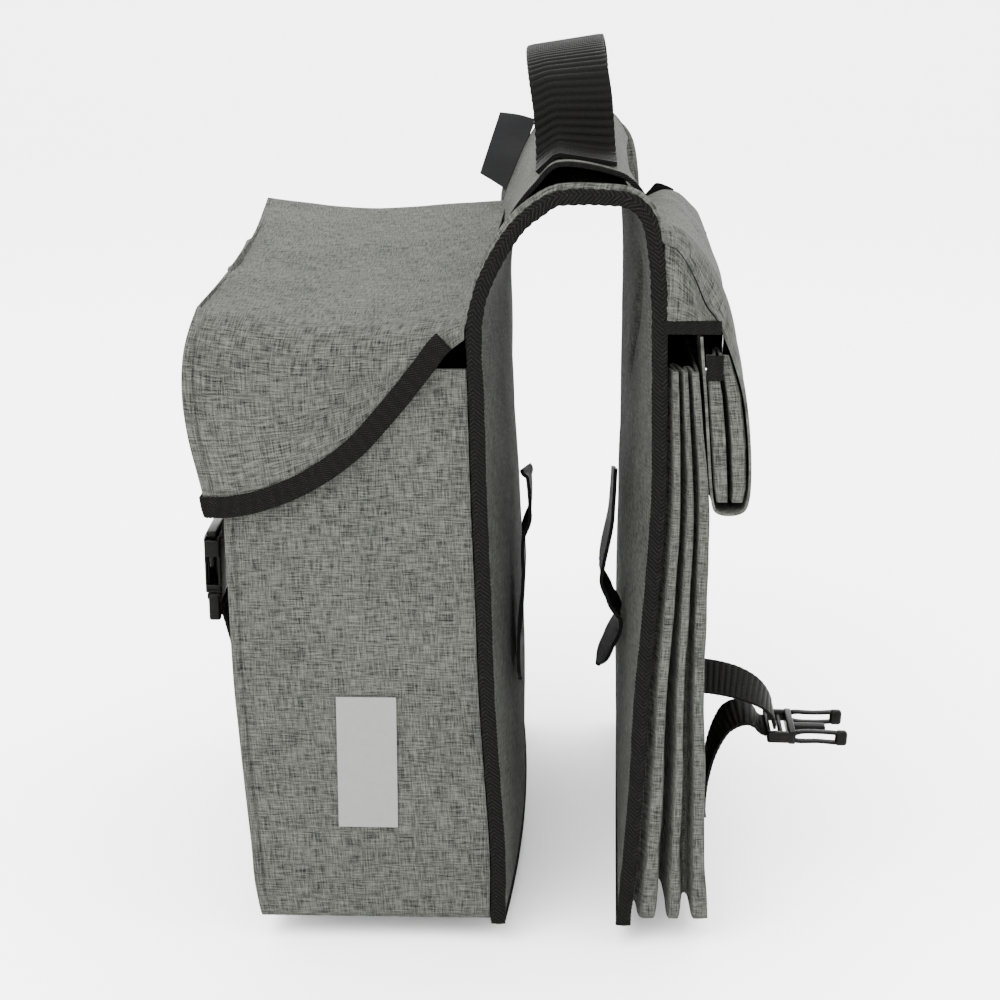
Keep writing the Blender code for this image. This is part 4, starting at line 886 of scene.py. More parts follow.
def stretched_noise(tree, vector, scale, detail=2.0, roughness=0.55, place=(0.0, 0.0, 0.0)):
    """Noise whose grains are stretched, by a scale for each axis in grains a metre."""
    mapping = add_node(tree, "ShaderNodeMapping")
    mapping.inputs["Scale"].default_value = scale
    mapping.inputs["Location"].default_value = place
    tree.links.new(vector, mapping.inputs["Vector"])
    grain = add_node(tree, "ShaderNodeTexNoise")
    grain.inputs["Scale"].default_value = 1.0
    grain.inputs["Detail"].default_value = detail
    grain.inputs["Roughness"].default_value = roughness
    tree.links.new(mapping.outputs[0], grain.inputs["Vector"])
    return grain.outputs["Fac"]


def ramp(tree, value, stops):
    node = add_node(tree, "ShaderNodeValToRGB")
    while len(node.color_ramp.elements) < len(stops):
        node.color_ramp.elements.new(0.5)
    for element, (place, tone) in zip(node.color_ramp.elements, stops):
        element.position = place
        element.color = (tone, tone, tone, 1.0)
    tree.links.new(value, node.inputs["Fac"])
    return node.outputs["Color"]


YARNS_PER_METRE = 1150


def make_melange_group():
    """Weave of two-toned yarns: long slubs along and across the cloth over a fine weave."""
    group, entry, leave = new_group(
        "melange_weave",
        [("Vector", "NodeSocketVector", (0.0, 0.0, 0.0)), ("Dark", "NodeSocketColor", (0.1, 0.1, 0.1, 1.0)),
         ("Light", "NodeSocketColor", (0.3, 0.3, 0.3, 1.0))],
        [("Color", "NodeSocketColor"), ("Height", "NodeSocketFloat"), ("Roughness", "NodeSocketFloat")])
    vector = entry.outputs["Vector"]
    along = stretched_noise(group, vector, (95.0, 1250.0, 1.0), 3.0, 0.65)
    across = stretched_noise(group, vector, (1250.0, 95.0, 1.0), 3.0, 0.65, (7.0, 3.0, 0.0))
    fine = stretched_noise(group, vector, (1900.0, 1900.0, 1.0), 1.0, 0.5, (1.0, 9.0, 0.0))
    broad = stretched_noise(group, vector, (22.0, 22.0, 1.0), 2.0, 0.5, (4.0, 2.0, 0.0))
    slubs = weighted_sum(group, (along, 0.5), (across, 0.42), (fine, 0.20), (broad, 0.06))
    tone = ramp(group, slubs, [(0.47, 0.0), (0.58, 0.44), (0.70, 1.0)])
    blend_tones(group, tone, entry.outputs["Dark"], entry.outputs["Light"], leave.inputs["Color"])
    split = add_node(group, "ShaderNodeSeparateXYZ")
    group.links.new(vector, split.inputs[0])
    turns = 2 * math.pi * YARNS_PER_METRE
    warp = math_node(group, "SINE", math_node(group, "MULTIPLY", split.outputs["X"], turns))
    weft = math_node(group, "SINE", math_node(group, "MULTIPLY", split.outputs["Y"], turns))
    weave = math_node(group, "MULTIPLY", math_node(group, "MULTIPLY", warp, weft), 0.18)
    group.links.new(math_node(group, "ADD", slubs, weave), leave.inputs["Height"])
    rough = math_node(group, "SUBTRACT", 1.02, math_node(group, "MULTIPLY", slubs, 0.22))
    group.links.new(rough, leave.inputs["Roughness"])
    return group


def make_yarn_group():
    """Fine yarn grain of tapes and webbing, with a painted highlight: a paler tone on its high spots."""
    group, entry, leave = new_group(
        "yarn_grain",
        [("Vector", "NodeSocketVector", (0.0, 0.0, 0.0)),
         ("Base", "NodeSocketColor", (0.02, 0.02, 0.02, 1.0)),
         ("Worn", "NodeSocketColor", (0.06, 0.06, 0.06, 1.0)),
         ("Along", "NodeSocketFloat", 1000.0), ("Across", "NodeSocketFloat", 400.0)],
        [("Color", "NodeSocketColor"), ("Height", "NodeSocketFloat")])
    vector = entry.outputs["Vector"]
    split = add_node(group, "ShaderNodeSeparateXYZ")
    group.links.new(vector, split.inputs[0])
    wide = math_node(group, "MULTIPLY", split.outputs["X"], entry.outputs["Across"])
    long = math_node(group, "MULTIPLY", split.outputs["Y"], entry.outputs["Along"])
    waves = math_node(group, "MULTIPLY", math_node(group, "SINE", wide), math_node(group, "SINE", long))
    grain = stretched_noise(group, vector, (900.0, 900.0, 1.0), 2.0, 0.6)
    height = math_node(group, "ADD", math_node(group, "MULTIPLY", waves, 0.35), grain)
    # Painted highlight: the higher the grain, the nearer its tone comes to the paler highlight tone.
    tone = ramp(group, height, [(0.35, 0.0), (0.95, 1.0)])
    blend_tones(group, tone, entry.outputs["Base"], entry.outputs["Worn"], leave.inputs["Color"])
    group.links.new(height, leave.inputs["Height"])
    return group


def make_twill_group():
    """Raised slanting yarns of a twill tape, broken up by the yarns' own unevenness."""
    group, entry, leave = new_group(
        "twill_lines",
        [("Vector", "NodeSocketVector", (0.0, 0.0, 0.0)), ("Pitch", "NodeSocketFloat", 0.0024),
         ("Slant", "NodeSocketFloat", 1.0), ("Middle", "NodeSocketFloat", 0.006)],
        [("Height", "NodeSocketFloat")])
    split = add_node(group, "ShaderNodeSeparateXYZ")
    group.links.new(entry.outputs["Vector"], split.inputs[0])
    from_middle = math_node(group, "SUBTRACT", split.outputs["X"], entry.outputs["Middle"])
    slanted = math_node(group, "MULTIPLY", math_node(group, "ABSOLUTE", from_middle), entry.outputs["Slant"])
    uneven = stretched_noise(group, entry.outputs["Vector"], (260.0, 260.0, 1.0), 2.0, 0.6)
    along = math_node(group, "ADD", split.outputs["Y"], slanted)
    along = math_node(group, "ADD", along, math_node(group, "MULTIPLY", uneven, 0.0016))
    turns = math_node(group, "DIVIDE", along, entry.outputs["Pitch"])
    wave = math_node(group, "SINE", math_node(group, "MULTIPLY", turns, 2 * math.pi))
    height = math_node(group, "ADD", math_node(group, "MULTIPLY", wave, 0.5), 0.5)
    group.links.new(height, leave.inputs["Height"])
    return group


def new_material(name, roughness, specular=0.5):
    """Material with its node tree, its shader and its texture coordinates."""
    material = bpy.data.materials.new(name)
    material.use_nodes = True
    tree = material.node_tree
    shader = tree.nodes["Principled BSDF"]
    shader.inputs["Roughness"].default_value = roughness
    shader.inputs["Specular IOR Level"].default_value = specular
    return material, tree, shader, add_node(tree, "ShaderNodeTexCoord").outputs


def place_group(tree, group, vector, values):
    node = tree.nodes.new("ShaderNodeGroup")
    node.node_tree = group
    tree.links.new(vector, node.inputs["Vector"])
    for key, value in values.items():
        node.inputs[key].default_value = value
    return node


def add_bump(tree, shader, height, distance, strength):
    bump = tree.nodes.new("ShaderNodeBump")
    bump.inputs["Strength"].default_value = strength
    bump.inputs["Distance"].default_value = distance
    tree.links.new(height, bump.inputs["Height"])
    tree.links.new(bump.outputs["Normal"], shader.inputs["Normal"])


def opaque(base, gain=1.0):
    return (base[0] * gain, base[1] * gain, base[2] * gain, 1.0)


def make_cloth(name, group, dark, light):
    material, tree, shader, where = new_material(name, 0.9, 0.08)
    weave = place_group(tree, group, where["UV"], {"Dark": dark, "Light": light})
    tree.links.new(weave.outputs["Color"], shader.inputs["Base Color"])
    tree.links.new(weave.outputs["Roughness"], shader.inputs["Roughness"])
    add_bump(tree, shader, weave.outputs["Height"], 0.00035, 0.8)
    return material


def make_yarn(name, group, base, ridge_highlight, along, across, roughness):
    material, tree, shader, where = new_material(name, roughness, 0.03)
    values = {"Base": base, "Worn": ridge_highlight, "Along": along, "Across": across}
    # The grain's second tone is a painted highlight on the webbing's raised yarns.
    grain = place_group(tree, group, where["UV"], values)
    tree.links.new(grain.outputs["Color"], shader.inputs["Base Color"])
    add_bump(tree, shader, grain.outputs["Height"], 0.0002, 0.8)
    return material


def make_twill(name, groups, base, ridge_highlight, pitch, slant, middle):
    """Binding tape: slanting yarns with a fine grain, with painted shade in the grooves between the yarns
    and a painted highlight on their ridges.
    """
    yarn, twill = groups
    material, tree, shader, where = new_material(name, 0.75, 0.03)
    values = {"Base": base, "Worn": ridge_highlight, "Along": 4200.0, "Across": 4200.0}
    grain = place_group(tree, yarn, where["UV"], values)
    lines = place_group(tree, twill, where["UV"], {"Pitch": pitch, "Slant": slant, "Middle": middle})
    # Painted shade: the grooves between the twill's yarns get less than half the tape's tone; the ridges
    # take the grain's colour with its painted highlight.
    blend_tones(tree, lines.outputs["Height"], opaque(base, 0.45), grain.outputs["Color"],
                shader.inputs["Base Color"])
    fine = math_node(tree, "MULTIPLY", grain.outputs["Height"], 0.4)
    height = math_node(tree, "ADD", lines.outputs["Height"], fine)
    add_bump(tree, shader, height, 0.0004, 0.9)
    return material


def make_plastic(name, base):
    material, tree, shader, where = new_material(name, 0.32, 0.05)
    fine = stretched_noise(tree, where["Object"], (2600.0, 2600.0, 2600.0), 2.0, 0.6)
    broad = stretched_noise(tree, where["Object"], (90.0, 90.0, 90.0), 2.0, 0.6)
    blend_tones(tree, broad, base, opaque(base, 1.8), shader.inputs["Base Color"])
    rough = math_node(tree, "ADD", math_node(tree, "MULTIPLY", broad, 0.16), 0.24)
    tree.links.new(rough, shader.inputs["Roughness"])
    add_bump(tree, shader, fine, 0.00006, 0.5)
    return material


def make_band(name, base):
    material, tree, shader, where = new_material(name, 0.62, 0.12)
    lines = stretched_noise(tree, where["Object"], (150.0, 150.0, 2400.0), 2.0, 0.6)
    light = (base[0] * 1.3, base[1] * 1.3, base[2] * 1.35, 1.0)
    blend_tones(tree, lines, opaque(base, 0.75), light, shader.inputs["Base Color"])
    add_bump(tree, shader, lines, 0.0001, 0.6)
    return material


def make_reflective(name, base):
    """Reflective film: a fine bead grain under a soft shine."""
    material, tree, shader, where = new_material(name, 0.42)
    beads = add_node(tree, "ShaderNodeTexVoronoi")
    beads.inputs["Scale"].default_value = 1600.0
    tree.links.new(where["Object"], beads.inputs["Vector"])
    cloth = stretched_noise(tree, where["Object"], (300.0, 300.0, 300.0), 2.0, 0.6)
    blend_tones(tree, cloth, opaque(base, 0.9), opaque(base, 1.1), shader.inputs["Base Color"])
    height = math_node(tree, "ADD", beads.outputs["Distance"], cloth)
    add_bump(tree, shader, height, 0.00008, 0.5)
    return material


def make_floor_material(base):
    material, tree, shader, where = new_material("studio_floor", 0.85)
    mottle = stretched_noise(tree, where["Object"], (3.0, 3.0, 3.0), 2.0, 0.5)
    blend_tones(tree, mottle, opaque(base, 0.99), opaque(base), shader.inputs["Base Color"])
    return material


GOODS = {}


def materials():
    """All the materials, made once."""
    if GOODS:
        return GOODS
    tones = bpy.context.scene.pannier_colours
    tape, strap = tones.tape, tones.webbing
    weave, yarn, twill = make_melange_group(), make_yarn_group(), make_twill_group()
    made = (
        make_cloth("cloth_outside", weave, opaque(tones.cloth_dark), opaque(tones.cloth_light)),
        # The second tone of each tape and webbing below is a painted highlight, a multiple of its base
        # colour.
        make_twill("binding_tape", (yarn, twill), opaque(tape, 0.9), opaque(tape, 5.0), 0.0024, 0.9, 0.0035),
        make_twill("edge_tape", (yarn, twill), opaque(tape, 0.9), opaque(tape, 4.5), 0.0019, 1.3, -0.02),
        make_yarn("handle_weave", yarn, opaque(strap, 0.7), opaque(strap, 2.4), 2800.0, 5200.0, 0.55),
        make_yarn("strap_weave", yarn, opaque(strap, 0.8), opaque(strap, 2.6), 2800.0, 5200.0, 0.55),
        make_yarn("carrier_weave", yarn, opaque(strap, 0.7), opaque(strap, 1.8), 3800.0, 3800.0, 0.6),
        make_plastic("moulded_plastic", opaque(tones.plastic)),
        make_band("band_cloth", tones.band),
        make_reflective("reflective_film", tones.reflective),
    )
    for material in made:
        GOODS[material.name] = material
    return GOODS


# Saddle panel, its bindings and the bridge's upper layer

SADDLE_CREASES = (
    Crease((0.0400, -0.166, 0.392), (0.0385, -0.150, 0.325), 0.0035, -0.0032),
    Crease((0.0330, -0.150, 0.392), (0.0340, -0.090, 0.330), 0.0050, -0.0035),
    Crease((0.0380, -0.120, 0.388), (0.0370, -0.060, 0.300), 0.0060, -0.0030),
)


class PANNIER_OT_saddle(bpy.types.Operator):
    """Makes the padded panel that runs from bag to bag over the carrier"""

    bl_idname = "pannier.saddle"
    bl_label = "Saddle panel"

    def execute(self, context):
        relief = context.scene.pannier_relief
        end = HALF_LENGTH - BINDING_THICKNESS
        foot = HEM_THICKNESS + FIT_GAP
        places = [end * (0.4 * t + 0.6 * math.sin(math.pi / 2 * t)) for t in stations(-1.0, 1.0, 141)]
        rows = [smooth_path(saddle_row(y, foot), 260) for y in places]
        piece = cloth_grid("saddle_panel_cloth", rows)
        creases = crease_field(SADDLE_CREASES)

        def field(place):
            ends = smooth((end - abs(place.y)) / 0.012) * smooth(place.z / 0.02)
            soft = ripple(place, 0.055) * 0.9 + ripple(place, 0.022, 5.0) * 0.25
            return (relief.ripple * soft + creases(place)) * ends
        press(piece, field)
        thicken(piece, PANEL_THICKNESS, 1.0)
        for vertex in piece.data.vertices:
            place = vertex.co - SHIFT
            radial = Vector((vertex.normal.x, 0.0, vertex.normal.z)).normalized()
            outwards = radial.dot(place - Vector((0.0, place.y, SHOULDER_HEIGHT - ARCH_SWELL)))
            if outwards > 0.0 and place.z > SHOULDER_HEIGHT:
                out = clamp((abs(place.y) - SWELL_START) / (end - SWELL_START))
                roll = math.sin(math.pi * min(out * 1.15, 1.0)) ** 0.7 if out < 0.87 else 0.4
                swell = smooth((place.z - SHOULDER_HEIGHT) / 0.03) * roll
                vertex.co += radial * ARCH_SWELL * swell
        finish_piece(piece, "cloth_outside", "saddle_panel")
        for word, side in (("left", LEFT), ("right", RIGHT)):
            rows = []
            for y in stations(-end, end, 61):
                x = panel_x(side, y, 0.0) + side * (HEM_WIDTH / 2 - HEM_THICKNESS)
                line = [x + e * HEM_WIDTH / 2 for e in (-1, -0.5, 0, 0.5, 1)]
                rows.append([Vector((place, y, HEM_THICKNESS / 2)) for place in line])
            hem = thicken(cloth_grid(word + "_hem_tape", rows), HEM_THICKNESS, 0.0)
            finish_piece(hem, "edge_tape", word + "_hem")
        return {"FINISHED"}


PATH_STEP = 0.0007
CHEVRON_DEPTH = 0.00022
WINDING_PITCH = 0.0054
WOBBLE = 0.0004
ARCH_FOOT = 0.335
TAPE_RIDGE = 0.003


def binding_relief(path, pitch):
    """Chevrons on the straight runs, puckers that wind round the arch."""
    def relief(length, n, b):
        at = length / PATH_STEP
        place = path[min(int(at), len(path) - 1)]
        arch = smooth((place.z - ARCH_FOOT) / 0.03)
        chevron = math.sin(2 * math.pi * (length + abs(n - TAPE_RIDGE) * 0.9) / pitch)
        winding = math.sin(2 * math.pi * (length - n * 1.1) / WINDING_PITCH)
        wobble = ripple(Vector((length, 0.0, 0.0)), 0.011, 3.0) * WOBBLE
        return (1 - arch) * CHEVRON_DEPTH * chevron + arch * CHEVRON_DEPTH * winding + wobble
    return relief


class PANNIER_OT_bindings(bpy.types.Operator):
    """Makes the woven tape that binds each end of the saddle panel"""

    bl_idname = "pannier.bindings"
    bl_label = "Bindings"

    def execute(self, context):
        pitch = context.scene.pannier_relief.twill
        for word, sign in ENDS:
            y = sign * (HALF_LENGTH - BINDING_THICKNESS + FIT_GAP)
            row = smooth_path(saddle_row(y), 400)
            count = int(running_lengths(row)[-1] / PATH_STEP)
            path = smooth_path(row, count, 2)
            profile = rounded_profile(-BINDING_INNER, BINDING_WIDTH - BINDING_INNER, 0.0,
                                      BINDING_THICKNESS - FIT_GAP, 0.0010, 3, 0.0005)
            piece = tube(word + "_binding_tape", path, *end_axes(path, sign), profile,
                         binding_relief(path, pitch))
            for vertex in piece.data.vertices:
                vertex.co.z = max(vertex.co.z, 0.0)
            finish_piece(piece, "binding_tape", word + "_binding", 60.0)
        return {"FINISHED"}


class PANNIER_OT_bridge(bpy.types.Operator):
    """Makes the bridge's upper layer and its bound edges"""

    bl_idname = "pannier.bridge"
    bl_label = "Bridge"

    def execute(self, context):
        end = HALF_LENGTH - UPPER_LAYER_INSET
        rows = [smooth_path(upper_row(y), 110) for y in stations(-end, end, 110)]
        piece = cloth_grid("handle_panel_cloth", rows)
        flat = (running_lengths(rows[0])[-1], 2 * end)
        thicken(piece, CLOTH_THICKNESS, 1.0)
        finish_piece(piece, "cloth_outside", "handle_panel")
        for word, sign in ENDS:
            y = sign * (end + FIT_GAP)
            path = smooth_path(upper_row(y), 220)
            profile = rounded_profile(-0.0003, CLOTH_THICKNESS + 0.0003, 0.0, UPPER_EDGE_WIDTH, 0.0006, 2)
            edge = tube("handle_panel_" + word + "_edge_tape", path, *end_axes(path, sign), profile)
            finish_piece(edge, "edge_tape", "handle_panel_" + word + "_edge", 60.0)
        return {"FINISHED"}


class PANNIER_OT_handle(bpy.types.Operator):
    """Makes the carrying handle of ribbed webbing"""

    bl_idname = "pannier.handle"
    bl_label = "Handle"

    def execute(self, context):
        relief = context.scene.pannier_relief
        clear = HANDLE_WEBBING / 2 + HANDLE_SEAT
        steps, fine = 14, 560
        rows = []
        for along in stations(0.0, 1.0, 240):
            y = -HALF_LENGTH + HANDLE_INSET + along * HANDLE_LENGTH
            rise = max(table_value(HANDLE_LOOP, "rise", along), 0.0)
            middle = HANDLE_OFFSET * table_value(HANDLE_LOOP, "sideways", along)
            tilt = math.radians(table_value(HANDLE_LOOP, "tilt", along))
            free = smooth(rise / HANDLE_FREE_RISE)
            line = []
            for k in range(steps + 1):
                reach = (k / steps - 0.5) * HANDLE_WIDTH
                x = middle + reach * math.cos(tilt)
                flat = upper_top(middle, y, clear) + reach * math.sin(tilt)
                line.append(Vector((x, y, mix(upper_top(x, y, clear), flat, free) + rise * HANDLE_RISE)))
            rows.append(line)
        columns = [smooth_path([row[k] for row in rows], fine, 3) for k in range(steps + 1)]
        rows = [[column[k] for column in columns] for k in range(fine)]
        webbing("handle_webbing", rows, HANDLE_WEBBING, relief.handle_rib, HANDLE_RIB_DEPTH, "handle_weave",
                "handle")
        return {"FINISHED"}


# Bags and lids

def rounded_run(start_z, corner_z, end, radius, sign, inset, turn, side, corner):
    """Places (y, z) from a mouth to the middle of one end, round a corner of the given radius."""
    run = []
    bend = max(radius - inset, FOLD_RADIUS)
    bend_y = end - inset - bend
    bend_z = corner_z + turn * (inset + bend)
    for k in range(side):
        run.append((sign * (end - inset), mix(start_z, bend_z, k / side)))
    for k in range(corner + 1):
        angle = math.pi / 2 * k / corner
        run.append((sign * (bend_y + bend * math.cos(angle)), bend_z - turn * bend * math.sin(angle)))
    return run


def shell(name, side, shares, path, panel_point, middle=60, sag=0.0):
    """Open shell: a strip swept round an end, a middle and the other end, and its outer panel."""
    rows = []
    near = [path(share, -1) for share in shares]
    far = [path(share, 1) for share in shares]
    count = len(near[0])
    for k in range(count):
        rows.append([near[c][k] for c in range(len(shares))])
    for j in range(1, middle):
        row = []
        for c, share in enumerate(shares):
            place = near[c][-1].lerp(far[c][-1], j / middle)
            place.x -= side * sag * share * math.sin(math.pi * j / middle)
            row.append(place)
        rows.append(row)
    for k in reversed(range(count)):
        rows.append([far[c][k] for c in range(len(shares))])
    strip = cloth_grid(name, rows)
    grid = []
    for k in range(count):
        line = [near[-1][k]]
        for j in range(1, middle):
            if k == count - 1:
                place = near[-1][-1].lerp(far[-1][-1], j / middle)
                place.x -= side * sag * math.sin(math.pi * j / middle)
            else:
                place = panel_point(near[-1][k], far[-1][k], j / middle)
            line.append(place)
        line.append(far[-1][k])
        grid.append(line)
    panel = cloth_grid(name + "_panel", grid)
    face_out(panel, Vector((side, 0, 0)))
    middle_of = sum((vertex.co for vertex in panel.data.vertices), Vector()) / len(panel.data.vertices)
    core = middle_of - Vector((side * 0.05, 0, 0))
    face_out(strip, lambda place: Vector((0.0, place.y, place.z - core.z)))
    whole = join(name, [strip, panel])
    weld(whole, 2e-5)
    return whole


SEAM_SHARES = (0.930, 0.942, 0.950, 0.956, 0.960, 0.964, 0.968, 0.974, 0.982, 0.991, 1.0)


Line = namedtuple("Line", "place width height")
SEAM_GROOVE = Line(0.962, 0.0042, -0.0013)
SEAM_ROLL = Line(0.984, 0.012, 0.0006)


def edge_seam(share):
    """Height of the sewn edge: a groove and a rolled strip outside it."""
    groove = math.exp(-((share - SEAM_GROOVE.place) / SEAM_GROOVE.width) ** 2)
    roll = math.exp(-((share - SEAM_ROLL.place) / SEAM_ROLL.width) ** 2)
    return SEAM_GROOVE.height * groove + SEAM_ROLL.height * roll


FULL_CREASES = (
    Crease((-0.080, -0.170, 0.010), (-0.110, -0.170, 0.040), 0.006, 0.0012),
    Crease((-0.060, -0.170, 0.012), (-0.150, -0.170, 0.020), 0.008, 0.0010),
    Crease((-0.070, -0.170, 0.280), (-0.110, -0.170, 0.235), 0.012, 0.0008),
)
LID_CREASES = (
    Crease((-0.060, -0.170, 0.330), (-0.100, -0.170, 0.300), 0.006, 0.0014),
    Crease((-0.058, -0.170, 0.342), (-0.120, -0.168, 0.338), 0.007, 0.0011),
    Crease((-0.065, -0.150, 0.362), (-0.140, -0.140, 0.352), 0.009, 0.0012),
)


class PANNIER_OT_full_bag(bpy.types.Operator):
    """Makes the full bag's body, a tub of stiffened cloth"""

    bl_idname = "pannier.full_bag"
    bl_label = "Full bag"

    def execute(self, context):
        relief = context.scene.pannier_relief
        end = HALF_LENGTH - CLOTH_THICKNESS - LID_CLEARANCE

        def path(share, sign):
            places = []
            for y, z in rounded_run(MOUTH_HEIGHT, 0.0, end, BASE_CORNER, sign, 0.0, 1, 60, 5):
                places.append(Vector((mix(bag_edge_x(LEFT, y, z), full_outer_x(y, z), share), y, z)))
            return places

        def panel_point(near, far, across):
            place = near.lerp(far, across)
            height = clamp(place.z / MOUTH_HEIGHT)
            place.x -= FULL_BULGE * math.sin(math.pi * across) * math.sin(math.pi * height)
            return place

        shares = stations(0.0, 0.92, 44) + list(SEAM_SHARES)
        piece = shell("full_bag_cloth", LEFT, shares, path, panel_point)
        creases = crease_field(FULL_CREASES)

        def field(place):
            inner, outer = bag_edge_x(LEFT, place.y, place.z), full_outer_x(place.y, place.z)
            share = (place.x - inner) / (outer - inner)
            quiet = smooth(place.z / 0.012)
            soft = ripple(place, 0.075) + ripple(place, 0.03, 5.0) * 0.3
            at_end = smooth((abs(place.y) - 0.161) / 0.005)
            side = smooth(share * 8.0)
            folds = (relief.ripple * soft * side + creases(place) * side) * quiet
            return folds + edge_seam(share) * at_end * quiet
        finish_cloth(piece, field, CLOTH_THICKNESS, "left_bag")
        return {"FINISHED"}


class PANNIER_OT_full_lid(bpy.types.Operator):
    """Makes the full bag's hood lid and the twill tape on its edge"""

    bl_idname = "pannier.full_lid"
    bl_label = "Full bag's lid"

    def execute(self, context):
        relief = context.scene.pannier_relief

        def path(share, sign):
            top = lid_top(share, sign * HALF_LENGTH)
            radius = min(LID_CORNER, top - lid_edge(share) - LID_CLEARANCE)
            run = rounded_run(lid_edge(share), top, HALF_LENGTH, radius, sign, 0.0, -1, 36, 12)
            return [lid_point(share, y, z) for y, z in run]

        def panel_point(near, far, across):
            place = near.lerp(far, across)
            height = max((place.z - LID_SKIRT) / (LID_TOP_NEAR - LID_SKIRT), 0.0)
            place.x += LID_SAG * math.sin(math.pi * across) * min(height, 1.0) ** 2
            return place

        shares = stations(0.0, 0.92, 44) + list(SEAM_SHARES)
        piece = shell("full_bag_lid_cloth", LEFT, shares, path, panel_point, 70, LID_SAG)
        creases = crease_field(LID_CREASES)

        def field(place):
            inner = bag_edge_x(LEFT, place.y, place.z)
            outer = lid_point(1.0, place.y, place.z).x
            share = (place.x - inner) / (outer - inner)
            side = smooth(share * 6.0)
            edge = smooth((place.z - lid_edge(clamp(share))) / 0.02)
            ridge = max(smooth((1.0 - share) / 0.05), smooth((lid_top(1.0, place.y) - place.z) / 0.012))
            soft = (ripple(place, 0.06, 9.0) + ripple(place, 0.025, 5.0) * 0.35) * ridge
            at_end = smooth((abs(place.y) - 0.164) / 0.004)
            folds = (relief.ripple * 1.3 * soft + creases(place)) * side * edge
            return folds + edge_seam(share) * at_end * edge
        finish_cloth(piece, field, CLOTH_THICKNESS, "left_lid")
        self.add_tape()
        return {"FINISHED"}

    def add_tape(self):
        """Twill tape folded over the lid's lower edge."""
        lift = FIT_GAP + LID_TAPE_THICKNESS / 2
        centres, ups, outs = [], [], []

        def end_run(sign, order):
            for share in order:
                here, ahead = lid_edge(share), lid_edge(min(share + 0.02, 1.0))
                slope = (ahead - here) / (0.02 * LID_DEPTH)
                across = Vector((slope, 0.0, 1.0)).normalized()
                point = lid_point(share, sign * HALF_LENGTH, here)
                centres.append(point + across * (LID_TAPE_WIDTH / 2) + Vector((0.0, sign * lift, 0.0)))
                ups.append(across)
                outs.append(Vector((0.0, sign, 0.0)))

        def flap_place_at(y, aside, facing):
            low, high = lid_point(1.0, y, LID_SKIRT), lid_point(1.0, y, LID_SKIRT + LID_TAPE_WIDTH)
            centres.append((low + high) / 2 + Vector((-lift - FIT_GAP, aside, 0.0)))
            ups.append((high - low).normalized())
            outs.append(Vector(facing).normalized())

        shares = stations(LID_TAPE_START, LID_TAPE_END, 90)
        end_run(-1, shares)
        flap_place_at(-HALF_LENGTH, -lift, (-1, -1, 0))
        for y in stations(-HALF_LENGTH + 0.004, HALF_LENGTH - 0.004, 80):
            flap_place_at(y, 0.0, (-1, 0, 0))
        flap_place_at(HALF_LENGTH, lift, (-1, 1, 0))
        end_run(1, list(reversed(shares)))
        path = smooth_path(centres, 1000, 4)
        lengths = running_lengths(centres)
        total = lengths[-1]
        normals, binormals, slot = [], [], 0
        for k in range(len(path)):
            at = total * k / (len(path) - 1)
            while slot < len(lengths) - 2 and lengths[slot + 1] < at:
                slot += 1
            share = (at - lengths[slot]) / max(lengths[slot + 1] - lengths[slot], 1e-9)
            normals.append(ups[slot].lerp(ups[slot + 1], min(share, 1.0)).normalized())
            binormals.append(outs[slot].lerp(outs[slot + 1], min(share, 1.0)).normalized())
        half, thick = LID_TAPE_WIDTH / 2, LID_TAPE_THICKNESS / 2
        profile = rounded_profile(-half, half, -thick, thick + 0.0004, 0.0006, 2, 0.0003)

        def relief(length, n, b):
            return 0.00012 * math.sin(2 * math.pi * (length + n * 1.4) / 0.0021)
        piece = tube("full_bag_lid_tape", path, normals, binormals, profile, relief)
        finish_piece(piece, "edge_tape", "left_lid_binding", 60.0)


class PANNIER_OT_flat_bag(bpy.types.Operator):
    """Makes the folded bag's body with the pleats of its gusset"""

    bl_idname = "pannier.flat_bag"
    bl_label = "Flat bag"

    def execute(self, context):
        relief = context.scene.pannier_relief

        def path(share, sign):
            inset = GUSSET_PLEAT_DEPTH * max(table_value(FLAT_PLEATS, "inset", share), 0.0)
            places = []
            for y, z in rounded_run(MOUTH_HEIGHT, 0.0, HALF_LENGTH, FLAT_CORNER, sign, inset, 1, 50, 6):
                places.append(Vector((mix(bag_edge_x(RIGHT, y, z), flat_outer_x(y, z), share), y, z)))
            return places

        def panel_point(near, far, across):
            place = near.lerp(far, across)
            place.x = flat_outer_x(place.y, place.z)
            return place

        shares = []
        for before, after in zip(FLAT_PLEATS, FLAT_PLEATS[1:]):
            shares += stations(before.out, after.out, 6)[:-1]
        shares.append(1.0)
        piece = shell("flat_bag_cloth", RIGHT, shares, path, panel_point, 60)

        def field(place):
            inner, outer = bag_edge_x(RIGHT, place.y, place.z), flat_outer_x(place.y, place.z)
            share = (place.x - inner) / max(outer - inner, 1e-4)
            quiet = smooth(place.z / 0.012) * smooth(share * 6.0)
            return relief.ripple * 0.9 * (ripple(place, 0.05, 2.0) + 0.4 * ripple(place, 0.02, 8.0)) * quiet
        finish_cloth(piece, field, FOLDED_CLOTH_THICKNESS, "right_bag")
        return {"FINISHED"}


END_CREASES = (
    Crease((0.0450, -0.169, 0.385), (0.0600, -0.169, 0.368), 0.0022, 0.0010),
    Crease((0.0430, -0.169, 0.370), (0.0540, -0.169, 0.358), 0.0022, 0.0010),
    Crease((0.0480, -0.169, 0.376), (0.0680, -0.169, 0.356), 0.0020, 0.0008),
)
FLAP_CREASES = (
    Crease((0.0400, -0.168, 0.398), (0.0540, -0.150, 0.396), 0.0045, 0.0016),
    Crease((0.0620, -0.155, 0.385), (0.0740, -0.160, 0.350), 0.0050, 0.0016),
    Crease((0.0520, -0.140, 0.400), (0.0700, -0.100, 0.380), 0.0060, 0.0014),
    Crease((0.0500, -0.100, 0.398), (0.0680, -0.060, 0.375), 0.0070, 0.0012),
    Crease((0.0860, -0.150, 0.320), (0.0930, -0.130, 0.270), 0.0060, 0.0012),
)


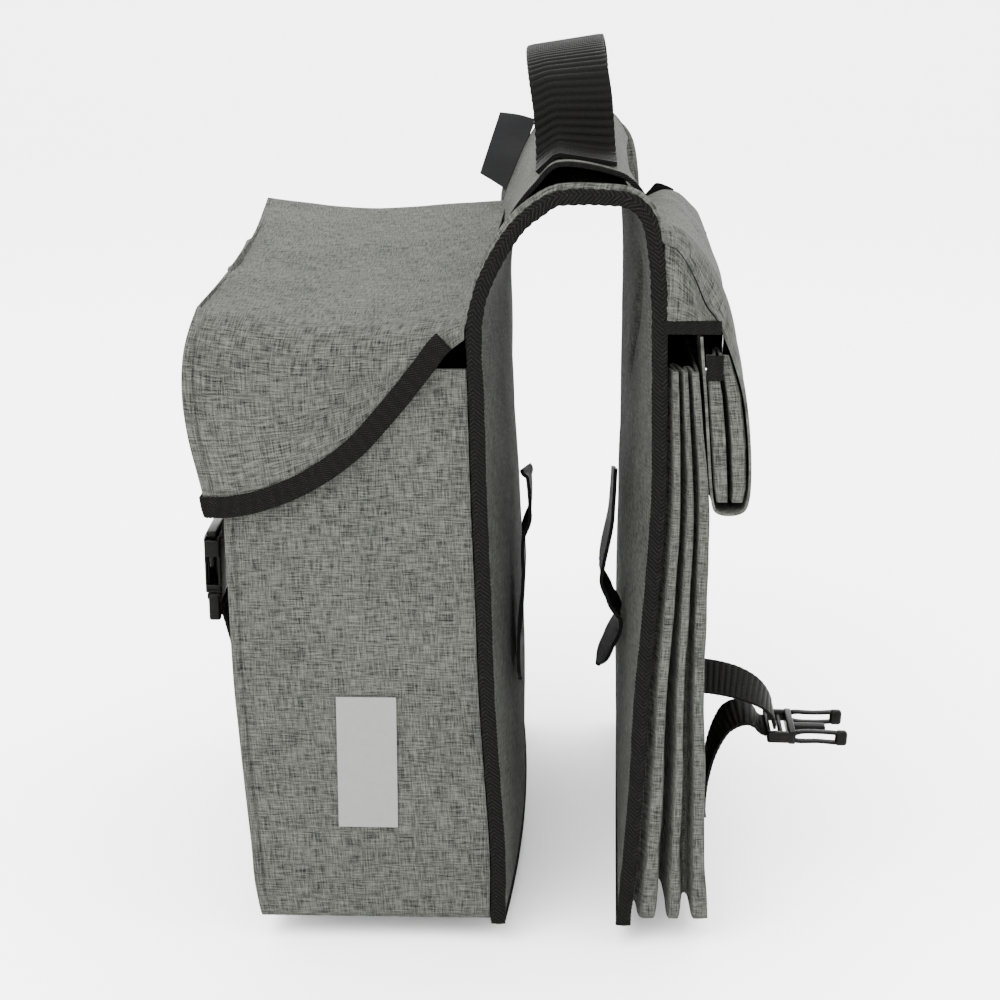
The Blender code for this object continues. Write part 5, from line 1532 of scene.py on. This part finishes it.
class PANNIER_OT_flat_lid(bpy.types.Operator):
    """Makes the flat bag's lid, turned up under itself, with its gussets and borders"""

    bl_idname = "pannier.flat_lid"
    bl_label = "Flat bag's lid"

    def execute(self, context):
        relief = context.scene.pannier_relief
        end, crest = HALF_LENGTH, -HALF_LENGTH + FLAP_CREST
        rows = []
        for way in stations(0.0, 1.0, 14)[:-1]:
            share = table_value(FLAP_RISES, "share", way)
            rows.append(smooth_path(flap_row(mix(-end, crest, way), share, "near"), 150))
        for y in stations(crest, end - FLAP_CREST, 70)[:-1]:
            rows.append(smooth_path(flap_row(y, 0.0, "body"), 150))
        for y in stations(end - FLAP_CREST, end, 10):
            share = (y - end + FLAP_CREST) / FLAP_CREST
            rows.append(smooth_path(flap_row(y, share, "far"), 150))
        piece = cloth_grid("flat_bag_lid_cloth", rows)
        creases = crease_field(FLAP_CREASES)

        def field(place):
            side = smooth((place.x - panel_x(RIGHT, place.y, SHOULDER_HEIGHT) - PANEL_THICKNESS) / 0.012)
            soft = ripple(place, 0.045, 4.0) + 0.4 * ripple(place, 0.018, 6.0)
            side *= smooth((HALF_LENGTH - abs(place.y)) / 0.014)
            return (relief.ripple * 1.1 * soft + creases(place)) * side
        finish_cloth(piece, field, FOLDED_CLOTH_THICKNESS, "right_lid", 60.0)
        length = running_lengths(rows[40])[-1]
        for word, sign in ENDS:
            self.add_gusset(word, sign)
            self.add_end(word, sign)
        self.add_corner()
        return {"FINISHED"}

    def add_gusset(self, word, sign):
        """Pleated end of the folded lid, and the tape on its pleat."""
        y = sign * (HALF_LENGTH - GUSSET_SETBACK)
        gap = GUSSET_REST if word == "near" else 0.0
        rest = (FOLDED_CLOTH_THICKNESS + gap) / FLAP_REACH
        shares = []
        for before, after in zip(GUSSET_PLEATS, GUSSET_PLEATS[1:]):
            shares += stations(before.out, after.out, 7)[:-1]
        shares.append(1.0)
        rows = []
        for height in stations(GUSSET_LOW, GUSSET_HIGH, 60):
            outer = flap_branch(FLAP_OUTER, word, height) - rest
            inner = flap_branch(FLAP_INNER, word, height) + rest
            line = []
            for share in shares:
                place = flap_place(mix(inner, outer, share), height, y)
                place.y -= sign * max(table_value(GUSSET_PLEATS, "inset", share), 0.0) * GUSSET_PLEAT_DEPTH
                line.append(place)
            rows.append(line)
        name = "flat_bag_lid_" + word + "_gusset"
        piece = cloth_grid(name, rows)
        face_out(piece, Vector((0, sign, 0)))
        thicken(piece, FOLDED_CLOTH_THICKNESS, -1.0)
        finish_piece(piece, "cloth_outside", "right_lid_" + word + "_gusset", 60.0)
        height = GUSSET_HIGH - GUSSET_TAPE / 2 / FLAP_DROP
        outer = flap_branch(FLAP_OUTER, word, height) - rest
        inner = flap_branch(FLAP_INNER, word, height) + rest
        outside = sign * (HALF_LENGTH + LID_TAPE_THICKNESS / 2 + FIT_GAP - GUSSET_SETBACK)
        tape_shares = stations(0.0, PLEAT_TAPE_END, 30)
        path = [flap_place(mix(inner, outer, share), height, outside) for share in tape_shares]
        self.add_border("flat_bag_lid_" + word + "_pleat_tape", path, sign, GUSSET_TAPE,
                        "right_lid_" + word + "_pleat")

    def add_border(self, name, path, sign, width, node):
        up, out = Vector((0, 0, 1)), Vector((0, sign, 0))
        thick = LID_TAPE_THICKNESS / 2
        profile = rounded_profile(-width / 2, width / 2, -thick, thick, 0.0006, 2, 0.0002)

        def relief(length, n, b):
            return 0.00014 * math.sin(2 * math.pi * (n + length * 0.8) / 0.0022)
        piece = tube(name, path, [up] * len(path), [out] * len(path), profile, relief)
        finish_piece(piece, "edge_tape", node, 60.0)

    def add_end(self, word, sign):
        """Closed end under the lid's top, and the bound border below it."""
        y = sign * (HALF_LENGTH - GUSSET_SETBACK)
        border, widest = (END_BORDER, NEAR_WIDEST) if word == "near" else (FAR_BORDER, FAR_WIDEST)
        lows, highs = [], []
        for share in stations(END_START, widest, 24):
            low = flap_place(share, border, y)
            lows.append(low)
            highs.append(Vector((low.x, y, max(under_lid(word, low.x) + END_GAP, low.z + GUSSET_REST))))
        rows = [[low.lerp(high, k / 24) for low, high in zip(lows, highs)] for k in range(25)]
        piece = cloth_grid("flat_bag_lid_" + word + "_end", rows)
        face_out(piece, Vector((0, sign, 0)))
        creases = crease_field(END_CREASES)

        def field(place):
            top, side = under_lid(word, place.x), smooth((place.x - lows[0].x) / 0.004)
            quiet = smooth((top - place.z) / 0.005) * smooth((place.z - lows[0].z) / 0.004) * side
            swell = 0.0012 * smooth((top - place.z) / 0.012)
            return (swell + 0.0006 * ripple(place, 0.012, 3.0) + creases(place)) * quiet
        finish_cloth(piece, field, FOLDED_CLOTH_THICKNESS, "right_lid_" + word + "_end", 60.0)
        outside = sign * (HALF_LENGTH + LID_TAPE_THICKNESS / 2 + FIT_GAP - GUSSET_SETBACK)
        path = [flap_place(share, border, outside) for share in stations(END_START, widest, 40)]
        self.add_border("flat_bag_lid_" + word + "_border_tape", path, sign, FLAP_TAPE_WIDTH,
                        "right_lid_" + word + "_border")

    def add_corner(self):
        """Black bound corner turned up on the lid's far end."""
        root = flap_place(0.0, -CORNER_DROP, CORNER_PLACE)
        piece = upright_piece("flat_bag_lid_bound_corner", BOUND_CORNER, (root.x, root.z),
                              (FLAP_REACH, FLAP_DROP), CORNER_PLACE, 0.0006)
        finish_piece(piece, "edge_tape", "right_lid_bound_corner", 60.0)


def upright_piece(name, tabs, origin, scale, y, puff):
    """Flat piece facing the near side, with a soft unevenness pressed into its face."""
    lows = [Vector((origin[0] + t.low_x * scale[0], y, origin[1] + t.low_z * scale[1])) for t in tabs]
    highs = [Vector((origin[0] + t.high_x * scale[0], y, origin[1] + t.high_z * scale[1])) for t in tabs]
    low_run, high_run = smooth_path(lows, 40, 6), smooth_path(highs, 40, 6)
    rows = [[low.lerp(high, k / 24) for low, high in zip(low_run, high_run)] for k in range(25)]
    piece = cloth_grid(name, rows)
    face_out(piece, Vector((0, -1, 0)))
    press(piece, lambda place: puff * ripple(place, 0.02, 3.0))
    return thicken(piece, BAND_THICKNESS, -1.0)


# Straps, buckles and trim

STRAP_STEPS = 10
STRAP_ROWS = 220
STRAP_ROW_STEP = 0.00045
HANDLE_RIB_DEPTH = 0.00042
STRAP_RIB_DEPTH = 0.00024
LOOSE_RIB_DEPTH = 0.00026
CARRIER_RIB = 0.0022
CARRIER_RIB_DEPTH = 0.00012


def strap(name, rows, node, depth=STRAP_RIB_DEPTH):
    """Strap of the buckles' webbing."""
    rib = bpy.context.scene.pannier_relief.strap_rib
    webbing(name, rows, WEBBING_THICKNESS, rib, depth, "strap_weave", node)


Turn = namedtuple("Turn", "at tilt")


def strap_rows(rows_table, y):
    """Rows of a loose strap that turns about its own run, from its root on the bag."""
    root = flat_outer_x(y, STRAP_ROOT)
    reach = LOOSE_STRAP_LENGTH
    centres = [Vector((root + row.out * reach, y, row.height * reach)) for row in rows_table]
    path = smooth_path(centres, STRAP_ROWS)
    lengths = running_lengths(centres)
    turns = [Turn(length / lengths[-1], row.tilt) for length, row in zip(lengths, rows_table)]
    rows = []
    for k, centre in enumerate(path):
        along = heading(path, k)
        tilt = math.radians(table_value(turns, "tilt", k / (STRAP_ROWS - 1)))
        across = Vector((0.0, math.cos(tilt), math.sin(tilt)))
        across = (across - along * across.dot(along)).normalized()
        offs = stations(-WEBBING_WIDTH / 2, WEBBING_WIDTH / 2, STRAP_STEPS + 1)
        rows.append([centre + across * off for off in offs])
    return rows


def flat_strap_rows(points, y):
    """Rows of a strap that keeps its width level along Y, through (x, z) points."""
    centres = [Vector((x, y, z)) for x, z in points]
    count = max(int(running_lengths(centres)[-1] / STRAP_ROW_STEP), 12)
    path = smooth_path(centres, count)
    offs = stations(-WEBBING_WIDTH / 2, WEBBING_WIDTH / 2, STRAP_STEPS + 1)
    return [[centre + Vector((0, off, 0)) for off in offs] for centre in path]


def rounded_box(name, size, centre, bevel):
    """Moulded block: a cube added at its size, bevelled all round."""
    bpy.ops.object.select_all(action="DESELECT")
    bpy.ops.mesh.primitive_cube_add(size=1.0)
    piece = bpy.context.object
    piece.name = name
    for vertex in piece.data.vertices:
        vertex.co = vertex.co * Vector(size) + Vector(centre)
    bpy.ops.object.mode_set(mode="EDIT")
    bpy.ops.mesh.select_all(action="SELECT")
    bpy.ops.mesh.bevel(offset=bevel, segments=3, affect="EDGES")
    bpy.ops.object.mode_set(mode="OBJECT")
    return piece


def ring_block(name, length, height, depth, wall, corner, bevel):
    """Long ring in the X-Z plane, open through Y: a rounded slab inset and bridged right through."""
    bpy.ops.object.select_all(action="DESELECT")
    bpy.ops.mesh.primitive_cylinder_add(vertices=32, radius=1.0, depth=1.0, rotation=(math.pi / 2, 0, 0))
    piece = bpy.context.object
    piece.name = name
    bpy.ops.object.transform_apply(location=False, rotation=True, scale=False)
    for vertex in piece.data.vertices:
        x = math.copysign(abs(vertex.co.x) ** corner, vertex.co.x)
        z = math.copysign(abs(vertex.co.z) ** corner, vertex.co.z)
        vertex.co = Vector((x * length / 2, vertex.co.y * depth, z * height / 2))
    bpy.ops.object.mode_set(mode="EDIT")
    bpy.ops.mesh.select_all(action="DESELECT")
    bpy.ops.mesh.select_mode(type="FACE")
    bpy.ops.object.mode_set(mode="OBJECT")
    for face in piece.data.polygons:
        face.select = abs(face.normal.y) > 0.9
    bpy.ops.object.mode_set(mode="EDIT")
    bpy.ops.mesh.inset(thickness=wall, depth=0.0)
    bpy.ops.mesh.bridge_edge_loops()
    bpy.ops.mesh.select_all(action="SELECT")
    bpy.ops.mesh.normals_make_consistent(inside=False)
    bpy.ops.object.mode_set(mode="OBJECT")
    soft = piece.modifiers.new("soft", "BEVEL")
    soft.width = bevel
    soft.segments = 2
    soft.limit_method = "ANGLE"
    soft.angle_limit = math.radians(50)
    apply_all(piece)
    return piece


Block = namedtuple("Block", "name size place bevel mirrored")
PLUG_BAR = 0.0026
PLUG_BAR_WIDTH = BUCKLE_WIDTH - 0.002
ARM_LENGTH = 0.0315
ARM_HEIGHT = 0.0100
ARM_DEPTH = 0.0036
ARM_WALL = 0.0021
ARM_CORNER = 0.62
ARM_BEVEL = 0.0005
ARM_BOW = 0.0014
ARM_HOOK = 0.0006
ARM_PINCH = 0.22
ARM_INSET = 0.0032
ARM_SUNK = 0.0012
PLUG_BLOCKS = (
    Block("bar", (PLUG_THICKNESS * 1.5, PLUG_BAR_WIDTH, PLUG_BAR * 1.6),
          (0, 0, -PLUG_BAR / 2), 0.0009, False),
    Block("bar", (PLUG_THICKNESS * 0.8, PLUG_BAR_WIDTH, PLUG_BAR),
          (0, 0, -PLUG_BAR / 2 - 0.46 * (PLUG_BASE - PLUG_BAR)), 0.0009, False),
    Block("bar", (PLUG_THICKNESS, PLUG_BAR_WIDTH, PLUG_BAR),
          (0, 0, PLUG_BAR / 2 - PLUG_BASE), 0.0009, False),
    Block("cheek", (PLUG_THICKNESS * 1.25, 0.0044, PLUG_BASE),
          (0, BUCKLE_WIDTH / 2 - 0.0026, -PLUG_BASE / 2), 0.0014, True),
    Block("head", (0.0092, 0.0054, 0.0072), (0, BUCKLE_WIDTH / 2 - 0.0034, 0.0278), 0.0020, True),
    Block("tongue", (PLUG_THICKNESS * 0.6, 0.0058, 0.021), (0, 0, 0.0095), 0.0012, False),
)
SOCKET_RAIL = BUCKLE_WIDTH / 2 - 0.0014
SOCKET_BLOCKS = (
    Block("face", (0.0016, BUCKLE_WIDTH - 0.001, SOCKET_LENGTH - 0.004),
          (BUCKLE_THICKNESS / 2 - 0.0008, 0, SOCKET_LENGTH / 2 - 0.002), 0.0007, True),
    Block("shoulder", (BUCKLE_THICKNESS, 0.0028, 0.0105),
          (0, SOCKET_RAIL, SOCKET_LENGTH - 0.0105), 0.0013, True),
    Block("lip", (BUCKLE_THICKNESS, 0.0028, 0.0050), (0, SOCKET_RAIL, 0.0026), 0.0013, True),
    Block("mouth", (BUCKLE_THICKNESS, BUCKLE_WIDTH, 0.0034), (0, 0, 0.0020), 0.0014, False),
    Block("bar", (BUCKLE_THICKNESS * 0.72, BUCKLE_WIDTH - 0.001, 0.0032),
          (0, 0, SOCKET_LENGTH - 0.0016), 0.0014, False),
    Block("bridge", (BUCKLE_THICKNESS * 0.9, BUCKLE_WIDTH - 0.001, 0.0034),
          (0, 0, SOCKET_LENGTH - 0.0098), 0.0014, False),
)


def moulded(blocks):
    """Blocks of a moulded piece: Y across, Z along it, X its thickness, the mirrored ones made twice."""
    parts = []
    for block in blocks:
        x, y, z = block.place
        for sign in ((-1, 1) if block.mirrored else (1,)):
            parts.append(rounded_box(block.name, block.size, (sign * x, sign * y, z), block.bevel))
    return parts


def make_plug(name):
    """Plug whose prongs, bowed outwards, point along +Z."""
    parts = moulded(PLUG_BLOCKS)
    for sign in (-1, 1):
        arm = ring_block("arm", ARM_LENGTH, ARM_HEIGHT, ARM_DEPTH, ARM_WALL, ARM_CORNER, ARM_BEVEL)
        arm.data.transform(Matrix.Rotation(math.radians(-90), 4, "Y"))
        for vertex in arm.data.vertices:
            along = vertex.co.z / ARM_LENGTH + 0.5
            bow = math.sin(math.pi * min(along * 1.15, 1.0)) * ARM_BOW - ARM_HOOK * smooth((along - 0.8) * 6)
            vertex.co.x *= 1.0 - ARM_PINCH * math.sin(math.pi * along)
            vertex.co.y += sign * (BUCKLE_WIDTH / 2 - ARM_INSET - bow)
            vertex.co.z += ARM_LENGTH / 2 - ARM_SUNK
        parts.append(arm)
    return join(name, parts)


def place_moulded(piece, matrix, node):
    """Moves a moulded piece from its own axes to its place and finishes it."""
    piece.data.transform(Matrix.Translation(SHIFT) @ matrix)
    finish_piece(piece, "moulded_plastic", node, 50.0)


class PANNIER_OT_buckles(bpy.types.Operator):
    """Makes the moulded buckles and the webbing of the full bag"""

    bl_idname = "pannier.buckles"
    bl_label = "Buckles"

    def execute(self, context):
        for word, sign in ENDS:
            self.add_closed(word, sign * STRAP_SPACING / 2)
        near, far = -STRAP_SPACING / 2, STRAP_SPACING / 2
        x = flat_outer_x(near, STRAP_ROOT) + PLUG_OUT * LOOSE_STRAP_LENGTH
        place = Matrix.Translation((x + PLUG_BASE, near, PLUG_HEIGHT * LOOSE_STRAP_LENGTH))
        tilt = Matrix.Rotation(math.radians(PLUG_TILT), 4, "X")
        lean = tilt @ Matrix.Rotation(math.radians(PLUG_DIP), 4, "Y")
        place_moulded(make_plug("loose_near_plug"), place @ lean, "right_near_plug")
        x = flat_outer_x(far, HANGING_FOOT - PRONG_LENGTH) + HANGING_STANDOFF
        hanging = Matrix.Translation((x, far, HANGING_FOOT)) @ Matrix.Rotation(math.pi, 4, "X")
        place_moulded(make_plug("loose_far_plug"), hanging, "right_far_plug")
        self.add_hanging(x, far)
        for name, table, node in (("loose_near_strap", LOOSE_STRAP, "right_near_strap"),
                                  ("loose_near_strap_tail", LOOSE_TAIL, "right_near_strap_tail")):
            strap(name, strap_rows(table, near), node, LOOSE_RIB_DEPTH)
        return {"FINISHED"}

    def add_closed(self, word, y):
        """Closed buckle of the full bag, with the webbing above and below it."""
        x = full_outer_x(y, BUCKLE_TOP) - BUCKLE_STANDOFF
        foot = BUCKLE_TOP - SOCKET_LENGTH
        socket = join("full_bag_" + word + "_socket", moulded(SOCKET_BLOCKS))
        place_moulded(socket, Matrix.Translation((x, y, foot)), "left_" + word + "_socket")
        plug = make_plug("full_bag_" + word + "_plug")
        place_moulded(plug, Matrix.Translation((x, y, foot - SOCKET_REST)), "left_" + word + "_plug")
        slot_z = BUCKLE_TOP - SOCKET_BAR - LADDER_BAR / 2
        behind = x + BUCKLE_THICKNESS / 2 + WEBBING_THICKNESS
        flap_x = lid_point(1.0, y, LID_SKIRT).x + CLOTH_THICKNESS + CURVE_SLACK + WEBBING_THICKNESS / 2
        upper = [
            (x - BUCKLE_THICKNESS / 2 - FIT_GAP, slot_z), (behind - WEBBING_THICKNESS, slot_z),
            (behind, slot_z + WEBBING_THICKNESS), (behind, BUCKLE_TOP + WEBBING_THICKNESS * 2),
            (flap_x, LID_SKIRT - WEBBING_THICKNESS), (flap_x, LID_SKIRT + WEBBING_SEWN),
        ]
        strap("full_bag_" + word + "_lid_webbing", flat_strap_rows(upper, y),
              "left_" + word + "_lid_webbing")
        ladder_z = foot - SOCKET_REST - PLUG_BASE * LADDER_SLOT
        body_x = full_outer_x(y, WEBBING_FOOT) - FULL_BULGE - CURVE_SLACK - WEBBING_THICKNESS / 2
        inside = x + PLUG_THICKNESS / 2 + WEBBING_THICKNESS
        lower = [
            (x - PLUG_THICKNESS / 2 - FIT_GAP, ladder_z), (inside - WEBBING_THICKNESS, ladder_z),
            (inside, ladder_z - WEBBING_THICKNESS),
            (mix(inside, body_x, WEBBING_BEND.out), mix(ladder_z, WEBBING_FOOT, WEBBING_BEND.height)),
            (body_x, WEBBING_FOOT + WEBBING_SEWN), (body_x, WEBBING_FOOT),
        ]
        strap("full_bag_" + word + "_body_webbing", flat_strap_rows(lower, y),
              "left_" + word + "_body_webbing")

    def add_hanging(self, x, y):
        """Far strap of the flat bag, from its root to its hanging plug."""
        strap_x = x + PLUG_THICKNESS / 2 + WEBBING_THICKNESS
        outermost = max(flat_outer_x(y, z) for z in (STRAP_ROOT, STRAP_ROOT + WEBBING_SEWN))
        root_x = outermost + CURVE_SLACK + WEBBING_THICKNESS / 2
        slot_z = HANGING_FOOT + PLUG_BASE * LADDER_SLOT
        points = [
            (root_x, STRAP_ROOT + WEBBING_SEWN), (root_x, STRAP_ROOT),
            (strap_x, HANGING_FOOT + PLUG_BASE + WEBBING_SEWN),
            (strap_x, slot_z + WEBBING_THICKNESS), (strap_x - WEBBING_THICKNESS, slot_z),
            (x - PLUG_THICKNESS / 2 + FIT_GAP, slot_z),
        ]
        strap("loose_far_strap", flat_strap_rows(points, y), "right_far_strap")


class PANNIER_OT_trim(bpy.types.Operator):
    """Makes the carrier straps, the band's end and the plain reflective patch"""

    bl_idname = "pannier.trim"
    bl_label = "Trim"

    def execute(self, context):
        for word, side, curl in (("left", LEFT, LEFT_CURL), ("right", RIGHT, RIGHT_CURL)):
            self.add_carrier_strap(word, side, curl)
        rise = BRIDGE_HEIGHT - SHOULDER_HEIGHT
        band = upright_piece("bridge_band_end", BAND_END, (0.0, SHOULDER_HEIGHT), (HALF_GAP, rise),
                             BAND_PLACE, 0.0008)
        finish_piece(band, "band_cloth", "left_strap_tab", 60.0)
        self.add_patch()
        return {"FINISHED"}

    def add_carrier_strap(self, word, side, curl):
        """Strap that curls off a back panel's inner face, rounded at its end."""
        centres = []
        for row in curl:
            z = CARRIER_STRAP_FOOT + row.height * CARRIER_STRAP_LENGTH
            y = CARRIER_STRAP_CENTRE + CARRIER_LEAN * (1.0 - row.height)
            nearest = min(side * panel_x(side, y + e * CARRIER_STRAP_WIDTH / 2, z) for e in (-1, 0, 1))
            clear = CURVE_SLACK + CARRIER_STRAP_THICKNESS / 2
            centres.append(Vector((side * (nearest - clear - row.off * CARRIER_STRAP_LENGTH), y, z)))
        path = smooth_path(centres, 200)
        rows = []
        for k, centre in enumerate(path):
            share = k / (len(path) - 1)
            along = heading(path, k)
            across = Vector((0, 1, 0))
            across = (across - along * across.dot(along)).normalized()
            round_end = math.sqrt(max(1.0 - smooth((share - 0.88) / 0.12) ** 2, 0.02))
            half = CARRIER_STRAP_WIDTH / 2 * round_end
            rows.append([centre + across * mix(-half, half, j / 16) for j in range(17)])
        webbing(word + "_carrier_webbing", rows, CARRIER_STRAP_THICKNESS, CARRIER_RIB, CARRIER_RIB_DEPTH,
                "carrier_weave", word + "_carrier_strap")

    def add_patch(self):
        """Plain reflective film that follows the bag's end."""
        y = -HALF_LENGTH + CLOTH_THICKNESS + LID_CLEARANCE - FIT_GAP - PATCH_THICKNESS / 2
        middle = bag_edge_x(LEFT, y, PATCH_MIDDLE) - FULL_DEPTH * PATCH_OUT
        across = stations(middle - PATCH_WIDTH / 2, middle + PATCH_WIDTH / 2, 28)
        heights = stations(PATCH_MIDDLE - PATCH_HEIGHT / 2, PATCH_MIDDLE + PATCH_HEIGHT / 2, 60)
        rows = [[Vector((x, y, z)) for x in across] for z in heights]
        piece = cloth_grid("reflective_patch_film", rows)
        face_out(piece, Vector((0, -1, 0)))
        ripple_depth = bpy.context.scene.pannier_relief.ripple

        def field(place):
            soft = ripple(place, 0.075) + ripple(place, 0.03, 5.0) * 0.3
            return ripple_depth * soft + 0.0002
        press(piece, field)
        thicken(piece, PATCH_THICKNESS, 0.0)
        finish_piece(piece, "reflective_film", "reflective_patch", 60.0)


# Floor in section, as (y, z), and the lamps
STAGE_SECTION = ((-4.0, 0.0), (3.0, 0.0), (3.6, 0.12), (4.0, 0.7), (4.1, 4.0))
STAGE_HALF_WIDTH = 5.0
STAGE_DROP = 0.0003
Lamp = namedtuple("Lamp", "name place size power")
LAMPS = (
    Lamp("key", (-0.9, -1.6, 2.2), 1.6, 130.0),
    Lamp("fill", (1.6, -1.2, 1.6), 1.6, 16.0),
    Lamp("back", (0.2, 1.2, 2.6), 1.8, 70.0),
)
LAMP_TARGET = (0.0, 0.0, 0.22)


class PANNIER_OT_stage(bpy.types.Operator):
    """Makes the floor, the soft studio light and the camera"""

    bl_idname = "pannier.stage"
    bl_label = "Stage"

    def execute(self, context):
        scene = context.scene
        run = smooth_path([Vector((0, y, z)) for y, z in STAGE_SECTION], 60)
        rows = []
        for x in stations(-STAGE_HALF_WIDTH, STAGE_HALF_WIDTH, 3):
            rows.append([Vector((x, point.y, point.z - STAGE_DROP)) for point in run])
        floor = cloth_grid("studio_floor", rows)
        face_out(floor, Vector((0, -0.2, 1)))
        floor.data.materials.append(make_floor_material(scene.pannier_colours.floor))
        smooth_shade(floor)
        world = bpy.data.worlds.new("studio")
        world.use_nodes = True
        sky = world.node_tree.nodes["Background"].inputs
        sky["Color"].default_value = (1.0, 1.0, 1.0, 1.0)
        sky["Strength"].default_value = scene.pannier_relief.light
        scene.world = world
        for lamp in LAMPS:
            self.add_light(*lamp)
        lens = bpy.data.cameras.new("camera")
        lens.lens = CAMERA_LENS
        lens.sensor_width = CAMERA_SENSOR
        camera = bpy.data.objects.new("camera", lens)
        scene.collection.objects.link(camera)
        camera.location = CAMERA_PLACE + SHIFT
        camera.rotation_euler = (math.radians(90 - CAMERA_PITCH), 0.0, math.radians(CAMERA_YAW))
        scene.camera = camera
        return {"FINISHED"}

    def add_light(self, name, place, size, power):
        light = bpy.data.lights.new(name, "AREA")
        light.energy = power
        light.size = size
        lamp = bpy.data.objects.new(name, light)
        bpy.context.scene.collection.objects.link(lamp)
        lamp.location = Vector(place)
        lamp.rotation_euler = (Vector(LAMP_TARGET) - Vector(place)).to_track_quat("-Z", "Y").to_euler()


OPERATORS = (
    PANNIER_OT_saddle, PANNIER_OT_bindings, PANNIER_OT_bridge, PANNIER_OT_handle, PANNIER_OT_full_bag,
    PANNIER_OT_full_lid, PANNIER_OT_flat_bag, PANNIER_OT_flat_lid, PANNIER_OT_buckles, PANNIER_OT_trim,
    PANNIER_OT_stage,
)


class PANNIER_PT_panel(bpy.types.Panel):
    """Lists the pannier's pieces and its sizes and colours"""

    bl_idname = "PANNIER_PT_panel"
    bl_label = "Pannier"
    bl_space_type = "VIEW_3D"
    bl_region_type = "UI"
    bl_category = "Pannier"

    def draw(self, context):
        for group in (context.scene.pannier_relief, context.scene.pannier_colours):
            for key in group.bl_rna.properties.keys():
                if key not in ("rna_type", "name"):
                    self.layout.prop(group, key)
        for operator in OPERATORS:
            self.layout.operator(operator.bl_idname)


CLASSES = (PannierColours, PannierRelief) + OPERATORS + (PANNIER_PT_panel,)


def register():
    for item in CLASSES:
        bpy.utils.register_class(item)
    bpy.types.Scene.pannier_colours = bpy.props.PointerProperty(type=PannierColours)
    bpy.types.Scene.pannier_relief = bpy.props.PointerProperty(type=PannierRelief)


def unregister():
    del bpy.types.Scene.pannier_relief
    del bpy.types.Scene.pannier_colours
    for item in reversed(CLASSES):
        bpy.utils.unregister_class(item)


def main():
    register()
    bpy.ops.pannier.saddle()
    bpy.ops.pannier.bindings()
    bpy.ops.pannier.bridge()
    bpy.ops.pannier.handle()
    bpy.ops.pannier.full_bag()
    bpy.ops.pannier.full_lid()
    bpy.ops.pannier.flat_bag()
    bpy.ops.pannier.flat_lid()
    bpy.ops.pannier.buckles()
    bpy.ops.pannier.trim()
    bpy.ops.pannier.stage()


if __name__ == "__main__":
    main()
